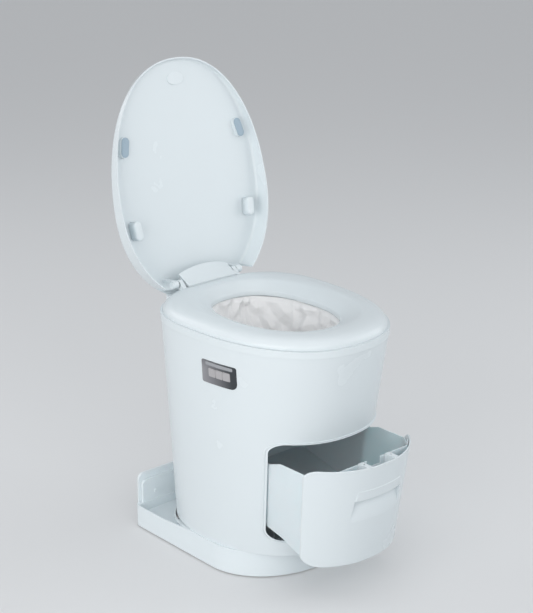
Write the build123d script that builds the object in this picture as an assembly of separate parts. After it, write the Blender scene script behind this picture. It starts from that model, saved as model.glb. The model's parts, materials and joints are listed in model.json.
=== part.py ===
from build123d import *
import os
from math import atan, cos, pi, radians, sin, tan

# A sealing toilet. Millimetres, +Z up, the front faces -Y, and the user's right is -X.
# The origin is on the floor under the middle of the body. The lid stands open and the
# drawer is part way out, which is the rest position of their joints.

os.makedirs("parts", exist_ok=True)

# Clearances
SKIN_GAP = 0.05
RUN_GAP = 0.05
SLIDE_GAP = 0.3
REST_GAP = 0.2
PLATE_GAP = 0.3

# Seat, as an egg outline: half width, reach to the front and reach to the rear
SEAT_HALF = 186.0
SEAT_FRONT = 277.45
SEAT_REAR = 177.4
SEAT_FRONT_POWER = 2.33
SEAT_REAR_POWER = 2.647
SEAT_CUT_Y = 165.0
SEAT_LOW = 504.8
SEAT_TOP = 527.0
SEAT_WALL = 3.0
SEAT_POCKET_EDGE = 10.0
SEAT_POCKET_INNER = 24.0
SEAT_POCKET_TOP = 516.0
# How far the seat's edge has drawn in at each height above its lower edge
SEAT_EDGE = [(0.0, 0.0), (0.4, 5.0), (2.4, 9.5), (6.0, 14.0), (12.5, 18.0), (25.0, 20.8), (45.0, 21.6)]

# Seat hole, an ellipse about a point ahead of the origin
HOLE_HALF = 108.0
HOLE_REACH = 152.0
HOLE_Y = -46.0
LIP_Z = 514.0
SLEEVE_LOW = 495.0
SLEEVE_WALL = 2.5

# Deck: the collar that the seat rests on
DECK_GROW = 5.25
DECK_LOW = 490.73
DECK_TOP = 504.6
DECK_HOLE_GAP = 3.5
REAR_DECK_HALF = 100.0
REAR_DECK_Y = 187.0
REAR_DECK_TOP = 509.0

# Body: ruled between a lower and an upper egg
BODY_LOW_HALF = 167.34
BODY_LOW_FRONT = 213.93
BODY_LOW_REAR = 181.85
BODY_LOW_POWER = 2.22
BODY_BOTTOM = 57.0
BODY_GROW = 3.7
BODY_WALL = 3.0
BODY_FLOOR = 3.0

# Drawer opening in the body's front
OPENING_LOW = 93.0
OPENING_HIGH = 308.0
OPENING_HALF_LOW = 130.0
OPENING_HALF_HIGH = 141.5
OPENING_LOW_RADIUS = 26.0
OPENING_HIGH_RADIUS = 20.0
PANEL_GAP = 1.5
TRIM_WIDTH = 5.0
TRIM_PROUD = 1.4

# Drawer, drawn closed and then moved out along its runners
DRAWER_OUT = 97.0
DRAWER_DROP = 21.0
BIN_HALF_HIGH = 134.5
BIN_HALF_LOW = 125.0
BIN_FRONT_Y = -219.0
BIN_REAR_Y = 118.0
BIN_TOP = 283.0
BIN_SHOULDER = 293.0
BIN_WALL = 2.2
BIN_FLOOR_Y = -103.0
BIN_FLOOR_Z = 134.3
BIN_CORNER = 30.0
BRACKET_X = 36.0
BRACKET_WIDE = 12.0
GRIP_HALF = 60.0
GRIP_TOP = 257.0
GRIP_LIP = 236.0
GRIP_LOW = 190.0

# Lid, drawn closed and then swung open about the hinge
COVER_WALL = 2.2
COVER_FRONT_Y = 152.5
COVER_REAR_Y = 186.5
COVER_FRONT_TOP = 528.5
COVER_END_TOP = 545.0
COVER_MIDDLE_TOP = 555.0
HINGE_Y = 173.35
HINGE_Z = 529.1
LID_ANGLE = 103.0
LID_HALF = 192.5
LID_FRONT = 279.0
LID_REAR = 216.8
LID_FRONT_POWER = 2.2
LID_REAR_POWER = 2.1
LID_RIM = 518.0
LID_WALL = 2.7
PAN_Y = -118.0
PAN_Z = 538.0
PAN_SLOPE = 0.077
LID_NOTCH_HALF = 117.0
LID_EDGE_RADIUS = 9.0
PAD_X = 149.0
PAD_LIFT = 0.6
FRONT_PAD_Y = -118.0
FRONT_PAD = (40.0, 17.5)
FRONT_PAD_THICK = 3.4
REAR_PAD_Y = 50.0
REAR_PAD = (39.0, 18.0)
PLATE_Y = -238.0
PLATE_HALF = (21.0, 13.0)

# Hinge: on each side a fixed bracket, then the seat's lug, then the lid's arm
PIN_RADIUS = 4.0
BRACKET_IN = 50.0
BRACKET_OUT = 62.0
COVER_HALF = 63.5
LUG_IN = 66.5
LUG_OUT = 76.0
ARM_IN = 78.0
ARM_OUT = 90.0
CAP_WIDE = 2.5
KNUCKLE_RADIUS = 8.0

# Base
BASE_HALF = 170.6
BASE_FRONT_Y = -180.4
BASE_ARC_Y = -37.7
BASE_REAR_Y = 219.4
BASE_LOW = 3.0
BASE_WALL = 3.0
PLINTH_TOP = 57.0
SIDE_REAR_TOP = 50.0
WELL_FLOOR = 32.0
UPSTAND_IN_TOP = 100.0
RAIL_TOP = 114.5
RAIL_SCREW_X = 120.0
RAIL_SCREW_Z = 68.0

# Control panel on the body's user's-right side
PANEL_Y = (-123.0, -33.0)
PANEL_Z = (406.0, 456.0)
BUTTON_Y = (-107.0, -54.0)
BUTTON_Z = (423.0, 440.0)
BUTTON_SPLIT = 0.7
LIGHT_Y = (-113.0, -45.0)
LIGHT_Z = (444.5, 451.5)
BEZEL_PROUD = 0.8
BUTTON_PROUD = 1.6
BUTTON_TRAVEL = 1.0
BUTTON_DEEP = 4.0
BEZEL_FLANGE = 2.5
BOARD_X = -163.0

# Sealing works inside the body
CHASSIS_LOW = 310.0
CHASSIS_THICK = 5.0
THROAT_HALF_X = 84.0
THROAT_HALF_Y = 22.0
THROAT_Z = 374.0
CHEEK_X = 97.0
CHEEK_THICK = 4.0
CHEEK_TOP = 373.0
FRAME_FRONT_Y = -50.0
FRAME_REAR_Y = 44.0
BAR_THICK = 6.0
ROLLER_Z = 358.0
ROLLER_RADIUS = 11.8
ROLLER_MODULE = 1.5
ROLLER_TEETH = 16
GEAR_WIDE = 6.0
SHAFT_RADIUS = 3.0
JAW_LOW = 320.0
JAW_HIGH = 338.0
JAW_HALF = 94.0
JAW_DEEP = 14.0
JAW_FACE_Y = 3.0
JAW_OPEN = 20.0
STRIP_THICK = 1.2
STRIP_HALF = 80.0
GUIDE_RADIUS = 3.5
GUIDE_X = 88.0
RACK_X = (18.0, 28.0)
RACK_Y = (-92.0, -19.0)
PINION_TEETH = 20
PINION_MODULE = 1.0
PINION_Y = -60.0
BACKLASH = 0.12
MOTOR_RADIUS = 14.0
MOTOR_LONG = 40.0

# Bowl guide and film
FUNNEL_WALL = 2.0
FLANGE_Z = 462.0
FLANGE_GROW = 44.0
CASSETTE_GROW = 30.0
CASSETTE_INNER = 13.0
CASSETTE_WALL = 2.0
CASSETTE_HIGH = 20.0
POST_REACH = 136.0
POST_X = 104.0
LINER_GAP = 1.0
LINER_WALL = 0.8

# Battery and power inlet
BATTERY_Y = (126.0, 160.0)
BATTERY_HALF = 70.0
BATTERY_HIGH = 70.0
INLET_Z = 92.0
INLET_RADIUS = 8.0

# Drawer ramp under the bin
RAMP_X = 80.0
RAMP_FRONT_Y = -124.0
RAMP_REAR_Y = 105.0
GLIDE_HIGH = 6.0


def egg(half, front, rear, front_power, rear_power, z, middle=0.0, count=28):
    """Closed outline |x/half|^n + |y/reach|^n = 1, with its own n and reach ahead and behind."""
    points = []
    for step in range(count):
        turn = 2 * pi * step / count
        across, along = cos(turn), sin(turn)
        power = rear_power if along > 0 else front_power
        reach = rear if along > 0 else front
        x = half * (1 if across > 0 else -1) * abs(across) ** (2 / power)
        y = reach * (1 if along > 0 else -1) * abs(along) ** (2 / power)
        points.append((x, middle + y, z))
    return Wire(Spline(*points, periodic=True))


def seat_outline(grow, z):
    return egg(
        SEAT_HALF + grow, SEAT_FRONT + grow, SEAT_REAR + grow, SEAT_FRONT_POWER, SEAT_REAR_POWER, z
    )


def hole_outline(grow, z):
    return egg(HOLE_HALF + grow, HOLE_REACH + grow, HOLE_REACH + grow, 2.1, 2.1, z, HOLE_Y)


def lid_outline(grow, z):
    return egg(LID_HALF + grow, LID_FRONT + grow, LID_REAR + grow, LID_FRONT_POWER, LID_REAR_POWER, z)


def body_block(grow):
    """The body's solid form with its skin moved out by grow."""
    lower = egg(
        BODY_LOW_HALF + grow, BODY_LOW_FRONT + grow, BODY_LOW_REAR + grow,
        BODY_LOW_POWER, BODY_LOW_POWER, BODY_BOTTOM,
    )
    return Solid.make_loft([lower, seat_outline(BODY_GROW + grow, DECK_LOW)], ruled=True)


def slab(outline, height):
    return Solid.extrude(Face(outline), Vector(0, 0, height))


def block(x0, x1, y0, y1, z0, z1):
    return Pos((x0 + x1) / 2, (y0 + y1) / 2, (z0 + z1) / 2) * Box(x1 - x0, y1 - y0, z1 - z0)


def rod_x(radius, x0, x1, y, z):
    return Pos((x0 + x1) / 2, y, z) * Rot(0, 90, 0) * Cylinder(radius, x1 - x0)


def rod_y(radius, x, y0, y1, z):
    return Pos(x, (y0 + y1) / 2, z) * Rot(90, 0, 0) * Cylinder(radius, y1 - y0)


def rod_z(radius, x, y, z0, z1):
    return Pos(x, y, (z0 + z1) / 2) * Cylinder(radius, z1 - z0)


def both(shape):
    """The shape and its mirror image across the toilet's middle plane."""
    return shape + mirror(shape, Plane.YZ)


def save(name, shape):
    export_step(Compound(shape.solids()), f"parts/{name}.step")
    box = shape.bounding_box()
    print(name, len(shape.solids()), "solids", round(shape.volume), "mm3", box.min, box.max)


def opening_outline(margin):
    """Drawer opening seen from the front, wider at the top, grown by margin."""
    low = OPENING_LOW - margin
    high = OPENING_HIGH + margin
    half_low = OPENING_HALF_LOW + margin
    half_high = OPENING_HALF_HIGH + margin
    outline = Polygon(
        (-half_low, low), (half_low, low), (half_high, high), (-half_high, high), align=None
    )
    corners = outline.vertices().sort_by(Axis.Y)
    outline = fillet(corners[:2], OPENING_LOW_RADIUS + margin)
    corners = outline.vertices().sort_by(Axis.Y)
    return fillet(corners[-2:], OPENING_HIGH_RADIUS + margin)


def front_prism(outline, y_near=-60.0, y_far=-320.0):
    """A front-view outline carried from y_near out to y_far."""
    plane = Plane((0, y_near, 0), x_dir=(1, 0, 0), z_dir=(0, -1, 0))
    return extrude(plane * outline, y_near - y_far, dir=(0, -1, 0))


def side_prism(outline, x0, x1):
    """A side-view outline (y, z) carried from x0 to x1."""
    return extrude(Plane.YZ.offset(x0) * outline, x1 - x0, dir=(1, 0, 0))


def rounded_window(y_range, z_range, radius, near_radius=None):
    """Side-view rectangle with rounded corners; near_radius is for the lower front corner."""
    outline = Polygon(
        (y_range[0], z_range[0]), (y_range[1], z_range[0]), (y_range[1], z_range[1]),
        (y_range[0], z_range[1]), align=None,
    )
    if near_radius is None:
        return fillet(outline.vertices(), radius)
    front_low = outline.vertices().sort_by(lambda v: v.X + v.Y)[0]
    outline = fillet(front_low, near_radius)
    others = [
        v for v in outline.vertices()
        if v.X > y_range[1] - 1 or v.Y > z_range[1] - 1
    ]
    return fillet(others, radius)


def hinge_turn(shape, opening):
    """Turns a piece of the seat or lid about the hinge, opening upwards."""
    return shape.rotate(Axis((0, HINGE_Y, HINGE_Z), (-1, 0, 0)), opening)


def seat_pocket():
    """Hollow underside between the outer wall and the dish, split by ribs."""
    pocket = slab(seat_outline(-SEAT_POCKET_EDGE, SEAT_LOW - 5), SEAT_POCKET_TOP - SEAT_LOW + 5)
    pocket = pocket - slab(hole_outline(SEAT_POCKET_INNER, SEAT_LOW - 6), 60)
    pocket = pocket & block(-200, 200, -300, SEAT_CUT_Y - 2 * SEAT_WALL, SEAT_LOW - 5, SEAT_TOP)
    pocket = pocket - block(-LUG_OUT - 3, LUG_OUT + 3, 140, 170, SEAT_LOW - 6, SEAT_TOP)
    for x in (-55.0, 55.0):
        pocket = pocket - block(x - 1.2, x + 1.2, -270, -150, SEAT_LOW - 6, SEAT_TOP)
    for y in (-120.0, -20.0, 100.0):
        pocket = pocket - block(-190, 190, y - 1.2, y + 1.2, SEAT_LOW - 6, SEAT_TOP)
    return pocket


def make_seat():
    dome = Solid.make_loft([seat_outline(-inset, SEAT_LOW + up) for inset, up in SEAT_EDGE])
    inset, up = SEAT_EDGE[-1]
    crown = seat_outline(-inset, SEAT_LOW + up + 0.3)
    middle = egg(
        HOLE_HALF + 14, HOLE_REACH + 22, HOLE_REACH - 8, 2.15, 2.2, SEAT_TOP - 6.0, HOLE_Y
    )
    dish = Solid.make_loft([crown, middle, hole_outline(0.0, LIP_Z)])
    well = slab(hole_outline(0.0, SLEEVE_LOW - 5), 60)
    sleeve = slab(hole_outline(SLEEVE_WALL, SLEEVE_LOW), LIP_Z - SLEEVE_LOW)
    seat = dome - dish
    seat = seat & block(-200, 200, -300, SEAT_CUT_Y, SEAT_LOW, SEAT_TOP)
    seat = seat - block(-COVER_HALF - 2.5, COVER_HALF + 2.5, 149, 200, 480, 600)
    seat = seat - seat_pocket()
    seat = seat + sleeve - well
    knuckle = rod_x(KNUCKLE_RADIUS, LUG_IN, LUG_OUT, HINGE_Y, HINGE_Z)
    web = side_prism(
        Polygon((150, 507), (158, 506.5), (176, 521.8), (167.4, 534.6), (150, 519), align=None),
        LUG_IN, LUG_OUT,
    )
    lug = both(knuckle + web) - rod_x(PIN_RADIUS + RUN_GAP, -100, 100, HINGE_Y, HINGE_Z)
    return seat + lug


def seat_buffer_places():
    return [(-148.0, -70.0), (148.0, -70.0), (-152.0, 60.0), (152.0, 60.0)]


def make_seat_buffers():
    buffers = Part()
    for x, y in seat_buffer_places():
        buffers += rod_z(7.0, x, y, DECK_TOP + REST_GAP / 2, SEAT_POCKET_TOP)
    return buffers


def make_deck():
    collar = slab(
        egg(
            SEAT_HALF + DECK_GROW, SEAT_FRONT + DECK_GROW, SEAT_REAR + DECK_GROW,
            SEAT_FRONT_POWER, SEAT_REAR_POWER, DECK_LOW,
        ),
        DECK_TOP - DECK_LOW,
    )
    rear = fillet(
        block(-REAR_DECK_HALF, REAR_DECK_HALF, 166.5, REAR_DECK_Y, DECK_LOW, REAR_DECK_TOP)
        .edges().filter_by(Axis.Z), 8.0,
    )
    plinth = block(-COVER_HALF, COVER_HALF, 153, REAR_DECK_Y, DECK_LOW, REAR_DECK_TOP)
    mouth = slab(hole_outline(SLEEVE_WALL + DECK_HOLE_GAP, DECK_LOW - 5), 60)
    deck = collar + rear + plinth - mouth
    return deck


def make_body():
    shell = body_block(0) - body_block(-BODY_WALL)
    shell = shell - front_prism(opening_outline(0))
    window = rounded_window(
        (PANEL_Y[0] + 1.5, PANEL_Y[1] - 1.5), (PANEL_Z[0] + 1.5, PANEL_Z[1] - 1.5), 4.0, 14.0
    )
    shell = shell - side_prism(window, -260, -120)
    floor = body_block(-1.0) & block(-200, 200, -300, 300, BODY_BOTTOM, BODY_BOTTOM + BODY_FLOOR)
    shell = shell + floor + chassis_bosses()
    return shell - rod_y(INLET_RADIUS, 0, 160, 200, INLET_Z)


def make_opening_trim():
    skin = body_block(TRIM_PROUD) - body_block(SKIN_GAP)
    groove = body_block(TRIM_PROUD) - body_block(TRIM_PROUD * 0.45)
    ring = front_prism(opening_outline(TRIM_WIDTH)) - front_prism(opening_outline(0.4))
    channel = front_prism(opening_outline(TRIM_WIDTH * 0.62)) - front_prism(
        opening_outline(TRIM_WIDTH * 0.40)
    )
    return skin & ring - (groove & channel)


def place_drawer(shape):
    return Pos(0, -DRAWER_OUT, -DRAWER_DROP) * shape


def grip_pocket(grow):
    """Finger recess: deepest under the lip, fading out downwards."""
    outline = Polygon(
        (-GRIP_HALF - grow, GRIP_TOP + grow), (GRIP_HALF + grow, GRIP_TOP + grow),
        (GRIP_HALF * 0.8 + grow, GRIP_LOW - grow), (-GRIP_HALF * 0.8 - grow, GRIP_LOW - grow),
        align=None,
    )
    outline = fillet(outline.vertices(), 12.0 + grow)
    prism = front_prism(outline, -190, -300)
    slope = side_prism(
        Polygon(
            (-300, GRIP_LOW - 12 - grow), (-238 + grow * 0.3, GRIP_LOW - 12 - grow),
            (-222 + grow, GRIP_LIP - 14), (-222 + grow, GRIP_TOP + 20), (-300, GRIP_TOP + 20),
            align=None,
        ),
        -100, 100,
    )
    return prism & slope


def make_drawer_front():
    panel = (body_block(0) - body_block(-BODY_WALL)) & front_prism(opening_outline(-PANEL_GAP))
    pocket_wall = (grip_pocket(BODY_WALL * 0.8) & body_block(-0.5)) - grip_pocket(0)
    return panel - grip_pocket(0) + pocket_wall


def bin_profile(inset):
    """Side view of the bin: its floor runs parallel to the runners and drops behind the panel."""
    fall = DRAWER_DROP / DRAWER_OUT
    beyond = BIN_REAR_Y + 60
    outline = Polygon(
        (beyond, BIN_FLOOR_Z + fall * (beyond - BIN_FLOOR_Y) + inset),
        (BIN_FLOOR_Y, BIN_FLOOR_Z + inset), (BIN_FLOOR_Y - 40, BIN_FLOOR_Z - 17 + inset),
        (BIN_FRONT_Y + inset, BIN_FLOOR_Z - 30 + inset), (BIN_FRONT_Y + inset, 330), (beyond, 330),
        align=None,
    )
    return fillet([v for v in outline.vertices() if v.Y < 140], 12.0)


def bin_block(inset):
    """The bin's form, drawn in by inset: profile, tapering sides, round rear corners."""
    low_half = BIN_HALF_LOW - inset
    high_half = BIN_HALF_HIGH - inset
    sides = Polygon(
        (-low_half, 90), (low_half, 90), (high_half, 262), (high_half, 340), (-high_half, 340),
        (-high_half, 262), align=None,
    )
    tub = side_prism(bin_profile(inset), -180, 180) & front_prism(sides, 180, -320)
    tub = tub & body_block(-BODY_WALL - 1.2 - inset)
    corners = extrude(
        Pos(0, BIN_REAR_Y - inset - 200) * RectangleRounded(2 * high_half + 2, 400, BIN_CORNER),
        360,
    )
    return tub & corners


def make_drawer_bin():
    tub = bin_block(0) - bin_block(BIN_WALL)
    front_top = BIN_TOP + 20
    rim = Polygon(
        (-320, front_top), (-200, front_top), (-196, BIN_SHOULDER), (-103, BIN_SHOULDER),
        (-73, BIN_TOP), (300, BIN_TOP), (300, 400), (-320, 400), align=None,
    )
    tub = tub - side_prism(rim, -200, 200)
    notch = block(-18, 18, -330, BIN_FRONT_Y + 10, BIN_TOP + 6, 400)
    return tub - notch


def make_drawer_brackets():
    foot = block(
        BRACKET_X - BRACKET_WIDE / 2, BRACKET_X + BRACKET_WIDE / 2, -262, BIN_FRONT_Y, 268, 305
    )
    foot = foot & body_block(-BODY_WALL - SKIN_GAP)
    foot = foot - rod_z(2.4, BRACKET_X, -229, 292, 320)
    return both(foot)


def pan_height(y, lift=0.0):
    """Height of the lid pan's inner face when the lid is closed."""
    return PAN_Z + PAN_SLOPE * (y - PAN_Y) + lift


def lid_block(inset, lift):
    """The lid's form: near-upright rim, drawn in towards a pan that slopes down to the front."""
    top = PAN_Z + 60
    walls = Solid.make_loft(
        [lid_outline(-inset, LID_RIM - 1), lid_outline(-inset - 5.0, top)], ruled=True
    )
    under_pan = side_prism(
        Polygon(
            (-320, LID_RIM), (260, LID_RIM), (260, pan_height(260, lift)),
            (-320, pan_height(-320, lift)), align=None,
        ),
        -220, 220,
    )
    return walls & under_pan


def make_lid_closed():
    outer = lid_block(0, LID_WALL)
    pan_edge = outer.edges().filter_by(lambda e: e.center().Z > pan_height(e.center().Y) - 4)
    pan_edge = [e for e in pan_edge if e.length > 100]
    outer = fillet(pan_edge, LID_EDGE_RADIUS)
    inner = lid_block(LID_WALL, 0)
    inner_edge = [
        e for e in inner.edges() if e.center().Z > pan_height(e.center().Y) - 4 and e.length > 100
    ]
    inner = fillet(inner_edge, LID_EDGE_RADIUS - 2.5)
    inner = inner + slab(lid_outline(-LID_WALL, LID_RIM - 10), 12)
    lid = outer - inner
    tail_notch = side_prism(
        Polygon(
            (140, LID_RIM - 5), (240, LID_RIM - 5), (240, pan_height(240) - 1),
            (140, pan_height(140) - 1), align=None,
        ),
        -LID_NOTCH_HALF, LID_NOTCH_HALF,
    )
    lid = lid - tail_notch
    arm = side_prism(
        Polygon(
            (HINGE_Y - KNUCKLE_RADIUS, HINGE_Z), (HINGE_Y + KNUCKLE_RADIUS, HINGE_Z),
            (HINGE_Y + KNUCKLE_RADIUS + 3, pan_height(HINGE_Y + 11) + 1.0),
            (HINGE_Y - KNUCKLE_RADIUS - 3, pan_height(HINGE_Y - 11) + 1.0), align=None,
        ),
        ARM_IN, ARM_OUT,
    )
    arm = arm + rod_x(KNUCKLE_RADIUS, ARM_IN, ARM_OUT, HINGE_Y, HINGE_Z)
    arms = both(arm) - rod_x(PIN_RADIUS + RUN_GAP, -100, 100, HINGE_Y, HINGE_Z)
    lid = lid + arms
    for side in (-1, 1):
        lid = lid + pad_boss(side * PAD_X, FRONT_PAD_Y)
    return lid


def pill(long, wide, height, x, y, turn):
    outline = SlotOverall(long, wide) if long > wide * 1.02 else Circle(wide / 2)
    shape = extrude(outline, height)
    return Pos(x, y, 0) * Rot(0, 0, turn) * shape


def pad_turn(x, y):
    """Pads lie along the rim, a little drawn in towards the front."""
    turn = 76.0 if y < 0 else 96.0
    return turn if x < 0 else 180 - turn


def pad_boss(x, y):
    """A low boss that comes down from the pan to carry a front pad."""
    low = SEAT_TOP + PAD_LIFT + FRONT_PAD_THICK
    height = pan_height(y) + 2 - low
    return Pos(0, 0, low) * pill(FRONT_PAD[0] + 3, FRONT_PAD[1] + 3, height, x, y, 180 - pad_turn(x, y))


def make_front_pads():
    pads = Part()
    for x in (-PAD_X, PAD_X):
        turn = 180 - pad_turn(x, FRONT_PAD_Y)
        pad = pill(FRONT_PAD[0], FRONT_PAD[1], FRONT_PAD_THICK, x, FRONT_PAD_Y, turn)
        pads += Pos(0, 0, SEAT_TOP + PAD_LIFT) * pad
    return pads


def make_rear_pads():
    under_pan = side_prism(
        Polygon(
            (-20, 500), (120, 500), (120, pan_height(120)), (-20, pan_height(-20)), align=None,
        ),
        -200, 200,
    )
    pads = Part()
    for x in (-PAD_X, PAD_X):
        pad = pill(REAR_PAD[0], REAR_PAD[1], 60, x, REAR_PAD_Y, 180 - pad_turn(x, REAR_PAD_Y))
        pads += (Pos(0, 0, SEAT_TOP + PAD_LIFT) * pad) & under_pan
    return pads


def make_lid_plate():
    """Blank oval plate set on the pan near the lid's front."""
    low = pan_height(PLATE_Y) - 1.4
    plate = Pos(0, PLATE_Y, low) * extrude(Ellipse(PLATE_HALF[0], PLATE_HALF[1]), 5)
    under_pan = side_prism(
        Polygon(
            (-300, 500), (-150, 500), (-150, pan_height(-150)), (-300, pan_height(-300)), align=None,
        ),
        -200, 200,
    )
    return plate & under_pan


def cover_form(grow):
    """Form of the hinge cover, drawn in by grow: a sloping front under an arched rear edge."""
    low = REAR_DECK_TOP - 2 * min(grow, 1)
    front = COVER_FRONT_Y + grow
    rear = COVER_REAR_Y - grow

    def section(x, rear_top):
        corners = [
            (x, front, low), (x, front, COVER_FRONT_TOP - grow * 0.6),
            (x, rear, rear_top - grow * 1.35), (x, rear, low),
        ]
        return Wire(Polyline(*corners, close=True))

    reach = 1.0 + 0.05 * grow
    sections = [
        section(share * COVER_HALF * reach, COVER_MIDDLE_TOP - (COVER_MIDDLE_TOP - COVER_END_TOP) * share**2)
        for share in (-1.0, -0.5, 0.0, 0.5, 1.0)
    ]
    return Solid.make_loft(sections)


def make_hinge_cover():
    return Part() + cover_form(0) - cover_form(COVER_WALL)


def make_hinge_brackets():
    plate = block(BRACKET_IN, BRACKET_OUT, COVER_FRONT_Y + 6, COVER_REAR_Y - 4, REAR_DECK_TOP, HINGE_Z + 20)
    brackets = both(plate & cover_form(COVER_WALL + PLATE_GAP))
    brackets = brackets & block(-100, 100, 0, 300, REAR_DECK_TOP, 600)
    return brackets - rod_x(PIN_RADIUS, -100, 100, HINGE_Y, HINGE_Z)


def make_hinge_pins():
    return both(rod_x(PIN_RADIUS, BRACKET_IN + 0.5, ARM_OUT + 2.0, HINGE_Y, HINGE_Z))


def make_hinge_caps():
    cap = rod_x(PIN_RADIUS + 2.5, ARM_OUT + REST_GAP, ARM_OUT + REST_GAP + CAP_WIDE, HINGE_Y, HINGE_Z)
    cap = cap - rod_x(PIN_RADIUS, 80, ARM_OUT + 2.0, HINGE_Y, HINGE_Z)
    return both(cap)


def base_outline(grow, z, radius=18.0):
    """Half an ellipse in front, straight sides and rounded rear corners."""
    half = BASE_HALF + grow
    front = BASE_ARC_Y - BASE_FRONT_Y + grow
    rear = BASE_REAR_Y + grow
    arc = EllipticalCenterArc((0, BASE_ARC_Y), half, front, start_angle=180, arc_size=180)
    sides = Polyline((half, BASE_ARC_Y), (half, rear), (-half, rear), (-half, BASE_ARC_Y))
    face = make_face([arc.edge(), *sides.edges()])
    corners = [v for v in face.vertices() if v.Y > rear - 1]
    return Pos(0, 0, z) * fillet(corners, radius + grow)


def make_base():
    """Tray: plinth under the body, low side walls, a well behind and an upstand at the rear."""
    full = extrude(base_outline(0, BASE_LOW), PLINTH_TOP - BASE_LOW)
    side_top = side_prism(
        Polygon(
            (-60, PLINTH_TOP), (30, PLINTH_TOP), (120, SIDE_REAR_TOP), (260, SIDE_REAR_TOP),
            (260, 90), (-60, 90), align=None,
        ),
        -200, 200,
    )
    tray = full - side_top
    body_foot = egg(
        BODY_LOW_HALF + 6, BODY_LOW_FRONT + 6, BODY_LOW_REAR + 6, BODY_LOW_POWER, BODY_LOW_POWER,
        WELL_FLOOR,
    )
    inner = extrude(base_outline(-BASE_WALL, WELL_FLOOR, 15.0), 60)
    behind = block(-200, 200, 60, 205, WELL_FLOOR, 100) & inner
    behind = behind - slab(body_foot, 80)
    tray = tray - behind
    underside = extrude(base_outline(-BASE_WALL, BASE_LOW - 1, 15.0), PLINTH_TOP - BASE_LOW - 4)
    low_part = block(-200, 200, 60, 230, WELL_FLOOR - 3, 120)
    foot_shell = egg(
        BODY_LOW_HALF + 2, BODY_LOW_FRONT + 2, BODY_LOW_REAR + 2, BODY_LOW_POWER, BODY_LOW_POWER,
        WELL_FLOOR - 4,
    )
    underside = underside - (low_part - slab(foot_shell, 90))
    for y in (-110.0, -40.0, 30.0, 100.0):
        underside = underside - block(-200, 200, y - 1.5, y + 1.5, BASE_LOW + 2, 60)
    tray = tray - underside
    upstand = extrude(base_outline(-4.0, WELL_FLOOR - 4, 14.0), UPSTAND_IN_TOP - WELL_FLOOR + 4)
    upstand = upstand & block(-154, 154, 207, 213.4, 0, 200)
    upstand = upstand.fillet(10.0, [
        e for e in upstand.edges().filter_by(Axis.Y) if e.center().Z > UPSTAND_IN_TOP - 2
    ])
    tray = tray + upstand
    for x in (-RAIL_SCREW_X, RAIL_SCREW_X):
        tray = tray - rod_y(3.0, x, 195, 214, RAIL_SCREW_Z)
    for x, y in foot_places():
        tray = tray - rod_z(13.2, x, y, BASE_LOW - 1, BASE_LOW + 2)
        top = PLINTH_TOP - 3 if y < 60 else WELL_FLOOR - 1
        tray = tray + (rod_z(16.0, x, y, BASE_LOW + 2, top) - rod_z(3.0, x, y, BASE_LOW, 22))
    return tray


def foot_places():
    corners = [(-120.0, -85.0), (120.0, -85.0), (-140.0, 180.0), (140.0, 180.0)]
    return [*corners, (0.0, 0.0)]


def make_rear_rail():
    """Outer rail clipped over the tray's rear edge, standing a little above the upstand."""
    outer = extrude(base_outline(0.6, SIDE_REAR_TOP + 0.2, 18.0), RAIL_TOP - SIDE_REAR_TOP)
    rail = outer & block(-160, 160, 213.8, 230, 0, 200)
    top_edges = [e for e in rail.edges().filter_by(Axis.Y) if e.center().Z > RAIL_TOP - 4]
    rail = rail.fillet(15.0, top_edges)
    for x in (-RAIL_SCREW_X, RAIL_SCREW_X):
        rail = rail - rod_y(3.0, x, 205, 218, RAIL_SCREW_Z)
    return rail


def make_rail_screws():
    screws = Part()
    for x in (-RAIL_SCREW_X, RAIL_SCREW_X):
        screws += rod_y(2.8, x, 206.5, 217.8, RAIL_SCREW_Z) + rod_y(5.0, x, 204.4, 206.8, RAIL_SCREW_Z)
    return screws


def make_feet():
    feet = Part()
    for x, y in foot_places():
        foot = rod_z(13.0, x, y, 0, BASE_LOW + 1.9)
        feet += foot.chamfer(0.8, None, foot.edges().sort_by(Axis.Z)[:1])
    return feet


def panel_piece(y_range, z_range, radius, proud, deep, near_radius=None):
    """A piece of the control panel: its outer face follows the body's skin."""
    prism = side_prism(rounded_window(y_range, z_range, radius, near_radius), -250, -120)
    near_skin = block(
        -250, -100, y_range[0] - 20, y_range[1] + 20, z_range[0] - 20, z_range[1] + 20
    ) & body_block(proud)
    return (prism & near_skin) - body_block(-deep)


def button_spans():
    low, high = BUTTON_Y
    width = (high - low - 2 * BUTTON_SPLIT) / 3
    starts = [low + n * (width + BUTTON_SPLIT) for n in range(3)]
    return [(start, start + width) for start in starts]


def make_bezel():
    bezel = panel_piece(
        (PANEL_Y[0] + 1.8, PANEL_Y[1] - 1.8), (PANEL_Z[0] + 1.8, PANEL_Z[1] - 1.8), 4.0, BEZEL_PROUD,
        BODY_WALL + 0.5, 14.0,
    )
    flange = panel_piece(
        (PANEL_Y[0] - 4, PANEL_Y[1] + 4), (PANEL_Z[0] - 4, PANEL_Z[1] + 4), 6.0, -BODY_WALL - 0.1,
        BODY_WALL + BEZEL_FLANGE,
    )
    bezel = bezel + flange
    keys = side_prism(
        rounded_window(
            (BUTTON_Y[0] - SLIDE_GAP, BUTTON_Y[1] + SLIDE_GAP),
            (BUTTON_Z[0] - SLIDE_GAP, BUTTON_Z[1] + SLIDE_GAP), 2.5,
        ),
        -250, -120,
    )
    lamp = side_prism(rounded_window(LIGHT_Y, LIGHT_Z, 2.0), -250, -120)
    return bezel - keys - lamp


def make_status_light():
    return panel_piece(
        (LIGHT_Y[0] + 0.1, LIGHT_Y[1] - 0.1), (LIGHT_Z[0] + 0.1, LIGHT_Z[1] - 0.1), 1.9,
        BEZEL_PROUD - 0.2, BODY_WALL + 2.4,
    )


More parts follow.
